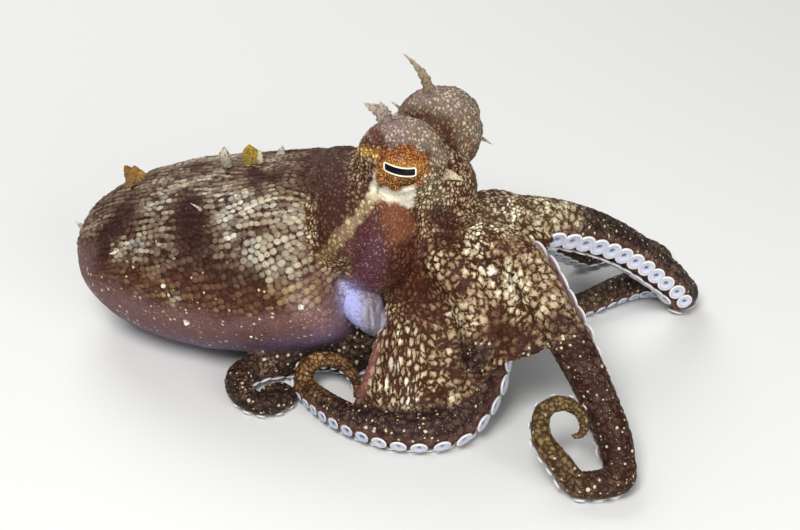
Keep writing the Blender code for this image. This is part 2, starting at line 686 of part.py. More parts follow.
def build():
    clear_scene()
    rooms = Rooms()
    nodes = [mantle_node(), *eyes("eye_")]
    rooms.add("mantle", mantle(GAP, "mantle_room"))
    rooms.add("eyes", *eyes("room_", GAP))
    nodes.append(head(rooms))
    rooms.add("head", *head_shapes(GAP))
    tube = funnel()
    rooms.clear(tube)
    keep_largest(tube)
    nodes.append(tube)
    rooms.add("funnel", funnel(GAP))
    arms = {name: Arm(name) for name in ARMS}
    lengths = {name: arm_pieces(arm, rooms) for name, arm in arms.items()}
    for (first, second), facts in WEBS.items():
        name, pair = f"web_{first}_{second}", (arms[first], arms[second])
        sheet = web(name, pair, facts)
        rooms.clear(sheet)
        keep_largest(sheet)
        nodes.append(sheet)
        rooms.add(name, web("room", pair, facts, GAP))
    for name, pieces in lengths.items():
        for node, span in pieces:
            add_suckers(arms[name], node, span, rooms)
            nodes.append(node)
    rooms.remove()
    for node in nodes:
        trim_to_floor(node)
        node.data.shade_smooth()
        node.data.set_sharp_from_angle(angle=math.radians(SHARP_ANGLE))
    centre(nodes)


def centre(nodes):
    """Puts the middle of the whole box over the origin."""
    boxes = np.array([box_of(node) for node in nodes])
    middle = (boxes[:, 0].min(0) + boxes[:, 1].max(0)) / 2
    for node in nodes:
        for vertex in node.data.vertices:
            vertex.co.x -= middle[0]
            vertex.co.y -= middle[1]


build()
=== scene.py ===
import math
import bpy
import numpy as np
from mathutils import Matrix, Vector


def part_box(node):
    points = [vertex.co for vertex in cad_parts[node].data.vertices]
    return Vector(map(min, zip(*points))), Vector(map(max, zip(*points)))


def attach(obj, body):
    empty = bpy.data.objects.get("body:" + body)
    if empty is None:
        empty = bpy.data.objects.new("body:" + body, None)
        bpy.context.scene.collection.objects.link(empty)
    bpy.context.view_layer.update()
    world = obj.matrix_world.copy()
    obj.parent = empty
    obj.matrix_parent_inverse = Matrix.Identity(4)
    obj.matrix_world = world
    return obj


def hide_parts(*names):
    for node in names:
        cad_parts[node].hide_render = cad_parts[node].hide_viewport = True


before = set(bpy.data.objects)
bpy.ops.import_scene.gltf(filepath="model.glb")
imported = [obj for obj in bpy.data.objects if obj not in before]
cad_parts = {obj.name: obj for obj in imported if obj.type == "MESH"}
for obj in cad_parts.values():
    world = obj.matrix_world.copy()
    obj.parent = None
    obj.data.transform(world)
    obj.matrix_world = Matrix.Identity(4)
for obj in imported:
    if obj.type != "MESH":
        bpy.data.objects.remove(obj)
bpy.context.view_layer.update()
print("frame loaded,", len(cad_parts), "nodes")

# All shapes are worked out in millimetres, +X the way the animal looks, +Y its left side, floor at z = 0.
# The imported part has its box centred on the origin, so every finished point is moved by rowShift.
mantleShape = {
    "radius": 24.3, "width": 1.12, "widestX": -33.0, "tail": 48.6, "blunt": 2.2, "front": 60.0,
    "lipX": -19.0, "endX": -8.0,   # where its front edge begins to round in, and where it has closed
    "axis": [(-82, 27, 18.0), (-56, 18.4, 21.8), (-35, 11.2, 25.4), (-12, 3, 33.0), (8, -4, 40)],
    "rowStep": 2.45, "rowWidth": 2.1,   # of the skin's grains, along a row and between rows
    "roundAt": 24.0,                    # radius of a turn's length in the rows' own coordinates
}
eyeShape = {
    "ball": 6.55, "out": 5.9, "domeRadius": 11.2,
    "right": {"dome": (0.4, 2.8, 54.8), "look": (0.03, -0.93, 0.36)},
    "left": {"dome": (9.4, 21.4, 54.2), "look": (0.42, 0.84, 0.34)},
}
headEggs = [   # centre, radii
    ((-8, 5, 37), (16.5, 19.5, 18.5)), ((-14, 4, 42), (11.5, 21.5, 13)), ((4, 9, 44.5), (15, 14, 14)),
    ((-3, 6, 48.5), (11, 10.5, 11)), ((3.5, 19, 48), (11, 10.5, 11)), ((10, 5, 33), (15.5, 15.5, 11.5)),
    *((eyeShape[side]["dome"], (eyeShape["domeRadius"],) * 3) for side in ("right", "left")),
]


def unit(v):   # each row divided by its own length
    v = np.asarray(v, float)
    return v / np.maximum(np.linalg.norm(v, axis=-1, keepdims=True), 1e-9)


def ease(low, high, x):   # 0 below low, 1 above high, an S between them
    t = np.clip((x - low) / (high - low), 0, 1)
    return t * t * (3 - 2 * t)


def circle(sides):   # even angles once round
    return np.linspace(0, 2 * math.pi, sides, endpoint=False)


def lengths(points):   # along a line of points, from its start to each
    return np.concatenate([[0], np.cumsum(np.linalg.norm(np.diff(points, axis=0), axis=1))])


def eyeCentre(side):
    return np.array(eyeShape[side]["dome"]) + unit(eyeShape[side]["look"]) * eyeShape["out"]


lowCorner, highCorner = (np.array(corner) * 1000 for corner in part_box("eye_right"))
rowShift = ((lowCorner + highCorner) / 2 - eyeCentre("right")) * (1, 1, 0)


def smoothCurve(points, count):
    # centripetal Catmull-Rom: each stretch blends its four nearest points by the roots of their distances,
    # and the whole curve is then read at even steps of its length
    p = np.asarray(points, float)
    p = np.vstack([2 * p[0] - p[1], p, 2 * p[-1] - p[-2]])
    found = []
    for i in range(1, len(p) - 2):
        gaps = np.linalg.norm(np.diff(p[i - 1:i + 3], axis=0), axis=1) ** 0.5
        knots = np.concatenate([[0], np.cumsum(gaps)])
        u = np.linspace(knots[1], knots[2], 16, endpoint=False)[:, None]

        def mix(a, b, k, m):
            return a * (knots[m] - u) / (knots[m] - knots[k]) + b * (u - knots[k]) / (knots[m] - knots[k])

        a1, a2, a3 = (mix(p[i - 1 + n], p[i + n], n, n + 1) for n in range(3))
        found.append(mix(mix(a1, a2, 0, 2), mix(a2, a3, 1, 3), 1, 2))
    fine = np.vstack([*found, p[-2]])
    along = lengths(fine)
    at = np.linspace(0, along[-1], count)
    return np.stack([np.interp(at, along, fine[:, k]) for k in range(fine.shape[1])], axis=1)


def ripple(points, length, seed, count=12):
    # sum of sine waves of about this wavelength in directions drawn from the seed, mostly within -1 to 1
    draw = np.random.default_rng(seed)
    ways = unit(draw.normal(size=(count, 3))) * draw.uniform(0.75, 1.3, (count, 1)) * 2 * math.pi / length
    phases = draw.uniform(0, 2 * math.pi, count)
    return np.sin(points @ ways.T + phases).sum(1) * math.sqrt(0.5 / count) * 0.9


def capped(rings, first=None, last=None):
    # a closed tube through rings of points: two triangles for each cell between two rings, and a fan to one
    # point at each end
    rows, sides = rings.shape[:2]
    first = rings[0].mean(0) if first is None else first
    last = rings[-1].mean(0) if last is None else last
    i, j = np.meshgrid(np.arange(rows - 1), np.arange(sides), indexing="ij")
    k = (j + 1) % sides
    a, b, c, d = i * sides + j, i * sides + k, (i + 1) * sides + k, (i + 1) * sides + j
    faces = [np.stack(corners, -1).reshape(-1, 3) for corners in ((a, b, c), (a, c, d))]
    j, k, end = j[0], k[0], (rows - 1) * sides
    faces.append(np.stack([np.full(sides, rows * sides), k, j], 1))
    faces.append(np.stack([np.full(sides, rows * sides + 1), end + j, end + k], 1))
    return outward(np.vstack([rings.reshape(-1, 3), [first], [last]]), np.concatenate(faces))


def outward(points, faces):   # turned round if its volume comes out negative
    a, b, c = (points[faces[:, n]] for n in range(3))
    if np.einsum("ij,ij->i", a, np.cross(b, c)).sum() < 0:
        faces = faces[:, ::-1]
    return points, faces


def joined(parts):
    starts = np.cumsum([0] + [len(points) for points, _ in parts])
    points = np.vstack([points for points, _ in parts])
    return points, np.concatenate([faces + start for (_, faces), start in zip(parts, starts)])


def meshObject(name, points, faces, attributes=None):
    mesh = bpy.data.meshes.new(name)
    mesh.vertices.add(len(points))
    mesh.vertices.foreach_set("co", np.asarray(points, np.float32).ravel())
    faces = np.asarray(faces, np.int32)
    mesh.loops.add(faces.size)
    mesh.loops.foreach_set("vertex_index", faces.ravel())
    mesh.polygons.add(len(faces))
    mesh.polygons.foreach_set("loop_start", np.arange(0, faces.size, faces.shape[1], dtype=np.int32))
    mesh.update(calc_edges=True)
    kinds = {1: ("FLOAT", "value"), 3: ("FLOAT_VECTOR", "vector"), 4: ("FLOAT_COLOR", "color")}
    for key, values in (attributes or {}).items():
        values = np.asarray(values, np.float32)
        kind, field = kinds[values.size // len(values)]
        mesh.attributes.new(key, kind, "POINT").data.foreach_set(field, values.ravel())
    mesh.shade_smooth()
    return linked(name, mesh)


def linked(name, data):   # an object of this mesh, lamp or camera, in the scene
    obj = bpy.data.objects.new(name, data)
    bpy.context.scene.collection.objects.link(obj)
    return obj


def finishedPoints(points):   # millimetres to metres, in the row's place
    return (np.asarray(points) + rowShift) * 0.001


def readRows(items, field, width, kind=np.float32):   # one field of a mesh's points, edges or loops
    found = np.empty(len(items) * width, kind)
    items.foreach_get(field, found)
    return found.reshape(-1, width).astype(float if kind is np.float32 else int)


def readShape(mesh):   # points, and quads or triangles as rows of indices
    corners = readRows(mesh.loops, "vertex_index", 1, np.int32)
    return readRows(mesh.vertices, "co", 3), corners.reshape(len(mesh.polygons), -1)


def usedUp(obj, read):   # what is read from an object with its modifiers on, which is then removed
    bpy.context.view_layer.update()
    graph = bpy.context.evaluated_depsgraph_get()
    mesh = bpy.data.meshes.new_from_object(obj.evaluated_get(graph), depsgraph=graph)
    found = read(mesh)
    bpy.data.objects.remove(obj)
    bpy.data.meshes.remove(mesh)
    return found


def meshNormals(points, faces):   # sum of the faces' crosswise vectors at each point
    total = np.zeros_like(points)
    a, b, c = (points[faces[:, n]] for n in range(3))
    area = np.cross(b - a, c - a)
    for n in range(faces.shape[1]):
        for k in range(3):
            total[:, k] += np.bincount(faces[:, n], area[:, k], len(points))
    return unit(total)


# Arms: the points that each arm's middle passes through. A height of 0 lays it on the floor.
armShape = {
    "root": 6.3, "tip": 0.55, "taper": 0.66, "thinnest": 0.72, "samples": 240, "sides": 26,
    "rest": 1.28, "flat": 0.07,          # height of a lying arm's middle in radii, and how flat it is below
    "grain": 2.5, "grainPower": 0.6,     # mm along an arm's root, and how it shrinks as the arm thins
    "r1": {
        "route": [(15, 4.5, 34), (23, 4.2, 38.2), (33, 6.4, 37.6), (44.5, 12, 32.4), (55, 17, 25.4),
                  (64.5, 20.6, 17), (71.6, 22.6, 9.6), (74.6, 26, 0), (72, 31, 0), (65, 32, 0), (57, 28.4, 0),
                  (49, 22.8, 0), (40.5, 19.6, 0), (33, 22.4, 0), (31, 29, 0), (36, 32.2, 0), (39.6, 28.6, 0),
                  (37.6, 25.4, 0)],
        "oral": [(0.2, -0.4, -0.9), (0, -0.8, -0.6), (0, -0.75, -0.65), (0, -0.1, -1), (0, 0, -1)],
    },
    "r2": {
        "route": [(13, -0.5, 34), (20, -7, 38), (28.6, -13, 36.5), (35.6, -24.6, 30), (41.5, -32, 22),
                  (46.4, -39.5, 14), (49.6, -48.5, 8), (49.4, -56, 0), (43, -58, 0), (36.5, -54.8, 7.5),
                  (32.2, -50.2, 12), (32.7, -46, 16), (37, -45.2, 18), (41.3, -46.6, 16), (41.6, -50, 13.2),
                  (38.8, -51.3, 12.6)],
        "oral": [(0.2, 0.5, -0.8), (0.85, 0.4, -0.4), (0.95, 0.2, -0.3), (0.3, -0.1, -1), (-0.7, 0.3, -0.7),
                 (0, 0.8, 0.5)],
    },
    "r3": {
        "route": [(8.6, -1, 33), (12, -9.5, 34.4), (16.8, -15.6, 29.4), (19.8, -20.4, 21.4),
                  (19.8, -26.6, 12.8), (14.8, -34, 6.6), (7, -38, 0), (-2.3, -37, 0), (-12, -31.5, 0),
                  (-19.8, -22.5, 0), (-23.6, -14.6, 5.6), (-20.4, -11, 7.6), (-14.6, -12.2, 7.4),
                  (-10.8, -17, 5.4), (-10.6, -22, 3.4)],
        "oral": [(0.4, 0.3, -0.8), (0.75, 0.1, -0.6), (0.5, -0.5, -0.75), (-0.2, -0.55, -0.85),
                 (-0.6, -0.45, -0.6), (-0.2, 0.7, -0.4)],
    },
    "r4": {
        "route": [(4, 2.5, 30), (-1.5, -3, 24), (-5.5, -6.5, 14), (-11.5, -5.5, 6), (-19, -3.6, 0),
                  (-27, -6.5, 0), (-34, -8.5, 0), (-39.5, -14, 0), (-38, -21, 0), (-32, -24.5, 0),
                  (-27.6, -20.8, 0), (-29, -15.6, 0), (-33, -15.6, 0), (-34, -18.6, 0)],
        "oral": [(0.4, 0.4, -0.7), (0.3, 0.1, -0.9), (0, 0, -1)],
    },
    "l1": {
        "route": [(15.5, 8.6, 35), (23, 16.4, 34), (31.4, 27.4, 26), (40.6, 38, 15), (49.6, 46, 6),
                  (58.6, 51, 0), (67, 52, 0), (72, 47.6, 0), (70.6, 41.8, 0), (64.6, 41.2, 0), (62, 45.6, 0),
                  (65.4, 48, 0)],
        "oral": [(0, -0.2, -1), (-0.3, -0.4, -0.85), (0, 0, -1)],
    },
    "l2": {
        "route": [(11.5, 12, 34), (14, 21, 33), (18, 32, 25), (23, 44, 14), (27, 54, 5), (26, 63, 0),
                  (18.5, 66.5, 0), (10.5, 63, 0), (7.5, 56, 0), (11.5, 50.5, 0), (17.5, 51.5, 0),
                  (17.8, 56.4, 0), (14.4, 57.4, 0)],
        "oral": [(0.1, -0.3, -0.9), (0, -0.4, -0.9), (0, 0, -1)],
    },
    "l3": {
        "route": [(6.5, 12, 32), (1.5, 19.5, 30), (-3, 29, 20), (-8, 38.5, 9), (-15.5, 47, 0), (-26, 52, 0),
                  (-37, 52, 0), (-46, 49, 0), (-53, 53, 0), (-51, 60, 0), (-44, 61, 0), (-41.4, 57, 0),
                  (-44.6, 54.8, 0)],
        "oral": [(0.1, -0.3, -0.9), (0.3, -0.3, -0.9), (0, 0, -1)],
    },
    "l4": {
        "route": [(4.5, 8.5, 29), (-0.5, 12.5, 21), (-5, 18, 10), (-11, 26, 0), (-18.5, 33, 0), (-28, 38, 0),
                  (-38, 40.5, 0), (-47.5, 40.5, 0), (-56, 43.5, 0), (-63, 42, 0), (-64.5, 36.5, 0),
                  (-60, 34.5, 0)],
        "oral": [(0.2, -0.3, -0.9), (0.2, -0.1, -0.9), (0, 0, -1)],
    },
}
armNames = ["r1", "r2", "r3", "r4", "l1", "l2", "l3", "l4"]


def growArm(name):
    # radius falls from root to tip by a power of what is left of the arm, and a lying arm's middle stands its
    # own radius and a little more over the floor
    shape, count = armShape[name], armShape["samples"]
    route = smoothCurve(shape["route"], count)
    share = np.linspace(0, 1, count)
    radius = armShape["tip"] + (armShape["root"] - armShape["tip"]) * (1 - share) ** armShape["taper"]
    lying = armShape["rest"] * radius
    above = route[:, 2] - lying
    route[:, 2] = lying + 0.5 * (above + np.sqrt(above ** 2 + 1.0)) - 0.25
    along = lengths(route)
    tangent = unit(np.gradient(route, axis=0))
    oral = smoothCurve(shape["oral"], count)
    oral = unit(oral - (oral * tangent).sum(1, keepdims=True) * tangent)
    grain = armShape["grain"] * (radius / armShape["root"]) ** armShape["grainPower"]
    cells = np.concatenate([[0], np.cumsum(np.diff(along) / grain[1:])])
    return {"path": route, "radius": radius, "share": share, "along": along, "tangent": tangent, "oral": oral,
            "side": np.cross(tangent, oral), "grain": grain, "cells": cells}


def readArm(arm, s, key):   # any of an arm's tables at distances s along it
    table = arm[key]
    if table.ndim == 1:
        return np.interp(s, arm["along"], table)
    found = np.stack([np.interp(s, arm["along"], table[:, k]) for k in range(3)], axis=-1)
    return found if key == "path" else unit(found)


arms = {name: growArm(name) for name in armNames}


def armFlatness(facing):   # what is left of an arm's radius, by how far a place faces the suckers' side
    return 1 - armShape["flat"] * np.clip(facing, 0, 1) ** 2


def armTube(arm):   # circles round the middle, a little flatter on the side of the suckers
    turn = circle(armShape["sides"])
    radius = arm["radius"].clip(armShape["thinnest"])[:, None, None]
    ring = (np.cos(turn) * armFlatness(np.cos(turn)))[None, :, None] * arm["oral"][:, None]
    ring = ring + np.sin(turn)[None, :, None] * arm["side"][:, None]
    return capped(arm["path"][:, None] + radius * ring)


webShape = {
    "thick": 2.2, "edge": 1.5, "start": 5.0, "lift": 0.3, "along": 40, "across": 28,
    "sheets": {
        ("r1", "r2"): {"reach": (30, 36), "arch": 0.22, "bulge": 1.5},
        ("r2", "r3"): {"reach": (44, 66), "arch": 0.20, "bulge": 1.5},
        ("r3", "r4"): {"reach": (80, 12), "arch": 0.06, "bulge": 4.0},
        ("r4", "l4"): {"reach": (20, 22), "arch": 0.20, "bulge": 0.0},
        ("l4", "l3"): {"reach": (30, 40), "arch": 0.28, "bulge": 0.5},
        ("l3", "l2"): {"reach": (46, 46), "arch": 0.30, "bulge": 1.5},
        ("l2", "l1"): {"reach": (46, 46), "arch": 0.30, "bulge": 1.5},
        ("l1", "r1"): {"reach": (44, 40), "arch": 0.30, "bulge": 1.5},
    },
}


def webSheet(pair, facts):
    # u runs out along the two arms and t from one to the other: points between the arms' middles, pushed out
    # by a bulge that is widest half way across, and given a thickness that thins towards the free edge
    along, across = webShape["along"], webShape["across"]
    u, t = np.meshgrid(np.linspace(0, 1, along), np.linspace(0, 1, across), indexing="ij")
    belly = 4 * t * (1 - t)
    edges, outwards = [], []
    for name, reach in zip(pair, facts["reach"]):
        arm = arms[name]
        s = webShape["start"] + (reach - webShape["start"]) * u * (1 - facts["arch"] * belly)
        oral = readArm(arm, s, "oral")
        edges.append(readArm(arm, s, "path") - oral * webShape["lift"] * readArm(arm, s, "radius")[..., None])
        outwards.append(-oral)
    sheet = edges[0] * (1 - t)[..., None] + edges[1] * t[..., None]
    out = unit(outwards[0] + outwards[1])
    sheet = sheet + out * (facts["bulge"] * belly * np.sin(0.85 * math.pi * u))[..., None]
    normal = unit(np.cross(np.gradient(sheet, axis=0), np.gradient(sheet, axis=1)))
    half = (webShape["thick"] + (webShape["edge"] - webShape["thick"]) * u)[..., None] / 2
    upper, lower = sheet + normal * half, sheet - normal * half
    rings = np.concatenate([upper, lower[:, ::-1]], axis=1)
    return capped(rings)


mantleLine = smoothCurve(mantleShape["axis"], 240)
mantleTangent = unit(np.gradient(mantleLine, axis=0))
mantleAcross = unit(np.cross(mantleTangent, (0, 0, 1)))
mantleUp = np.cross(mantleAcross, mantleTangent)


def mantleCurve(x):
    # how far out a place is on the egg's length, to the power of its curve: an ellipse in front of the widest
    # place and a blunter curve behind it. Also that power, and how far along the closing lip the place is
    behind = x < mantleShape["widestX"]
    reach = np.where(behind, mantleShape["tail"], mantleShape["front"])
    power = np.where(behind, mantleShape["blunt"], 2.0)
    lip = (x - mantleShape["lipX"]) / (mantleShape["endX"] - mantleShape["lipX"])
    return np.abs((x - mantleShape["widestX"]) / reach) ** power, power, lip


def mantleRadius(x):   # what the curve leaves, and then what the lip leaves of it
    lengthwise, power, lip = mantleCurve(x)
    inside, blunt = np.clip(1 - lengthwise, 0, 1), mantleShape["blunt"]
    return mantleShape["radius"] * inside ** (1 / power) * (1 - lip.clip(0, 1) ** blunt) ** (1 / blunt)


def onMantleLine(x, table):
    return np.stack([np.interp(x, mantleLine[:, 0], table[:, k]) for k in range(3)], axis=-1)


def mantleEgg():
    # rings square to the axis, closer together towards both ends
    power = 2 / mantleShape["blunt"]
    back = mantleShape["widestX"] - mantleShape["tail"] * np.cos(np.radians(np.linspace(4, 90, 70))) ** power
    level = np.linspace(mantleShape["widestX"], mantleShape["lipX"], 20)[1:]
    closing = np.sin(np.radians(np.linspace(0, 85, 20)[1:])) ** power
    closing = mantleShape["lipX"] + (mantleShape["endX"] - mantleShape["lipX"]) * closing
    x = np.concatenate([back, level, closing])
    turn = circle(96)
    middle, across, up = (onMantleLine(x, table)[:, None] for table in (mantleLine, mantleAcross, mantleUp))
    ring = mantleShape["width"] * np.cos(turn)[None, :, None] * across + np.sin(turn)[None, :, None] * up
    tail = middle[0, 0] - onMantleLine(x[:1], mantleTangent)[0] * 0.25
    return capped(middle + mantleRadius(x)[:, None, None] * ring, tail)


def egg(centre, radii, rows=40, sides=48):   # an ellipsoid by angles from its top and round it
    down = np.linspace(0, math.pi, rows + 2)[1:-1, None, None]
    turn = circle(sides)[None, :, None]
    way = np.concatenate([np.sin(down) * np.cos(turn), np.sin(down) * np.sin(turn),
                          np.cos(down) * np.ones_like(turn)], axis=-1)
    centre, radii = np.array(centre, float), np.array(radii, float)
    top = radii * (0, 0, 1)
    return capped(centre + radii * way, centre + top, centre - top)


print("shapes of the body worked out")


def armTables(key):
    return np.stack([arms[name][key] for name in armNames])


def nearestArm(points):
    # of all the places along the arms' middles, the one whose tube is nearest, then a step along its tangent
    places, radii = armTables("path").reshape(-1, 3), armTables("radius").ravel()
    index = np.empty(len(points), int)
    low = places.astype(np.float32)
    for start in range(0, len(points), 16384):
        p = points[start:start + 16384].astype(np.float32)
        square = (p ** 2).sum(1)[:, None] - 2 * p @ low.T + (low ** 2).sum(1)
        index[start:start + 16384] = (np.sqrt(np.maximum(square, 0)) - radii.astype(np.float32)).argmin(1)
    tangent, oral, side = (armTables(key).reshape(-1, 3)[index] for key in ("tangent", "oral", "side"))
    off = points - places[index]
    step = np.clip((off * tangent).sum(1), -2, 2)
    off = off - tangent * step[:, None]
    slope = np.gradient(armTables("radius"), axis=1) / np.gradient(armTables("along"), axis=1)
    radius = radii[index] + slope.ravel()[index] * step
    gap = np.linalg.norm(off, axis=1) - radius
    angle = np.arctan2((off * side).sum(1), -(off * oral).sum(1))   # 0 on the back, pi on the suckers' side
    grain = armTables("grain").ravel()[index]
    return {"number": index // armShape["samples"], "s": armTables("along").ravel()[index] + step,
            "share": armTables("share").ravel()[index], "gap": gap, "angle": angle, "radius": radius,
            "way": unit(off), "oral": oral, "cell": armTables("cells").ravel()[index] + step / grain,
            "across": angle * radius / grain}


def nearMantle(points):
    # the nearest place of the mantle's axis gives x along it, height over it and distance across it
    low = mantleLine.astype(np.float32)
    index = np.empty(len(points), int)
    for start in range(0, len(points), 65536):
        p = points[start:start + 65536].astype(np.float32)
        index[start:start + 65536] = ((low ** 2).sum(1) - 2 * p @ low.T).argmin(1)
    off = points - mantleLine[index]
    step = (off * mantleTangent[index]).sum(1)
    x = mantleLine[index, 0] + mantleTangent[index, 0] * step
    across = (off * mantleAcross[index]).sum(1) / mantleShape["width"]
    up = (off * mantleUp[index]).sum(1)
    lengthwise, power, lip = mantleCurve(x)
    lengthwise = lengthwise + lip.clip(0, None) ** mantleShape["blunt"]
    level = (lengthwise + (np.hypot(across, up) / mantleShape["radius"]) ** power) ** (1 / power)
    return {"x": x, "gap": (level - 1) * mantleShape["radius"], "turn": np.arctan2(across, up),
            "thick": np.hypot(across, up)}


def nearHead(points):
    gaps = [(np.linalg.norm((points - np.array(c)) / np.array(r), axis=1) - 1) * min(r) for c, r in headEggs]
    return np.min(gaps, axis=0)


shareNames = ("mantleShare", "headShare", "armShare", "webShare")
shareReach = {"fall": 0.55, "web": 0.8, "most": 12}   # mm: how fast a form's pull falls, where webs begin


def fieldsAt(points):
    # how far each point is from the analytic mantle, head and arms, and how much of it belongs to each
    near, body, head = nearestArm(points), nearMantle(points), nearHead(points)
    away, fall = np.abs(np.stack([body["gap"], head, near["gap"]])), shareReach["fall"]
    pulls = np.exp(-away.clip(0, shareReach["most"]) / fall)
    pulls = pulls / (pulls.sum(0) + math.exp(-shareReach["web"] / fall))
    return {"arm": near, "body": body, "headGap": head, "mantleShare": pulls[0], "headShare": pulls[1],
            "armShare": pulls[2], "webShare": 1 - pulls.sum(0)}


meridianX = np.linspace(mantleShape["widestX"] - mantleShape["tail"], mantleShape["endX"], 400)
meridianLength = np.hypot(np.diff(meridianX), np.diff(mantleRadius(meridianX)))
meridianLength = np.concatenate([[0], meridianLength.cumsum()])


def flowAt(fields):
    # flat coordinates for the rows of grains, in grains: along and round the mantle, or an arm
    body, near = fields["body"], fields["arm"]
    turn = np.mod(body["turn"] + math.pi, 2 * math.pi)   # its seam is under the belly
    onMantle = np.stack([np.interp(body["x"], meridianX, meridianLength) / mantleShape["rowStep"],
                         turn * mantleShape["roundAt"] / mantleShape["rowWidth"]], axis=1)
    onArm = np.stack([near["cell"] + 60 + 97 * near["number"], near["across"] + 200], axis=1)
    mantleNearer = np.abs(body["gap"]) < np.abs(near["gap"])
    flat = np.where(mantleNearer[:, None], onMantle, onArm)
    return np.column_stack([flat, np.zeros(len(flat))])


def relax(points, edges, rounds, share=0.5, back=0.0):
    # each point goes the share of the way to the mean of its neighbours and back a part, so little shrinks
    degree = np.bincount(edges.ravel(), minlength=len(points))[:, None]
    share = np.broadcast_to(np.asarray(share, float), len(points))[:, None]
    for _ in range(rounds):
        for factor in (1.0, -back):
            if factor:
                total = np.stack([np.bincount(edges[:, 0], points[edges[:, 1], k], len(points))
                                  + np.bincount(edges[:, 1], points[edges[:, 0], k], len(points))
                                  for k in range(3)], axis=1)
                points = points + (total / degree - points) * share * factor
    return points


skinShape = {"voxel": 0.56, "triangles": 190000, "mend": 0.6}   # mm, count, mm


def roughSkin():
    # every fleshy form as a closed shape, made one surface by a remesh into small cubes
    parts = [mantleEgg()] + [egg(*facts) for facts in headEggs]
    parts += [armTube(arm) for arm in arms.values()]
    parts += [webSheet(pair, facts) for pair, facts in webShape["sheets"].items()]
    rough = meshObject("roughSkin", *joined(parts))
    step = rough.modifiers.new("cubes", "REMESH")
    step.mode = "VOXEL"
    step.voxel_size = skinShape["voxel"]
    return usedUp(rough, lambda mesh: (*readShape(mesh), readRows(mesh.edges, "vertices", 2, np.int32)))


def mendedSkin(points, edges):
    # the stairs of the remesh are smoothed, and each point is drawn back onto the exact form it belongs to
    points = relax(points, edges, 5, 0.5, 0.9)
    for _ in range(2):
        fields = fieldsAt(points)
        joint = 1 - np.max([fields[key] for key in shareNames], axis=0)
        points = relax(points, edges, 6, 0.5 * ease(0.12, 0.45, joint))
        near, limit = fields["arm"], skinShape["mend"]
        wanted = near["radius"].clip(armShape["thinnest"]) * armFlatness(-np.cos(near["angle"]))
        wanted = np.clip(wanted - (near["gap"] + near["radius"]), -limit, limit)
        points = points + near["way"] * (wanted * fields["armShare"] ** 2)[:, None]
    return relax(points, edges, 2, 0.5, 0.95)


tones = {"night": "#1a0c0b", "maroon": "#421c16", "cream": "#e3d8b2", "glow": "#b9bcf2", "violet": "#756da6"}


def tint(code):   # a named tone or a hex colour as linear red, green and blue
    code = tones.get(code, code)
    parts = [int(code[k:k + 2], 16) / 255 for k in (1, 3, 5)]
    return tuple(v / 12.92 if v <= 0.04045 else ((v + 0.055) / 1.055) ** 2.4 for v in parts)


class Wire:   # an output socket, with the arithmetic of Math nodes
    def __init__(self, paint, socket):
        self.paint, self.socket = paint, socket

    def __add__(self, other):
        return self.paint.maths("ADD", self, other)

    def __sub__(self, other):
        return self.paint.maths("SUBTRACT", self, other)

    def __rsub__(self, other):
        return self.paint.maths("SUBTRACT", other, self)

    def __mul__(self, other):
        return self.paint.maths("MULTIPLY", self, other)

    def __truediv__(self, other):
        return self.paint.maths("DIVIDE", self, other)

    __radd__ = __add__
    __rmul__ = __mul__


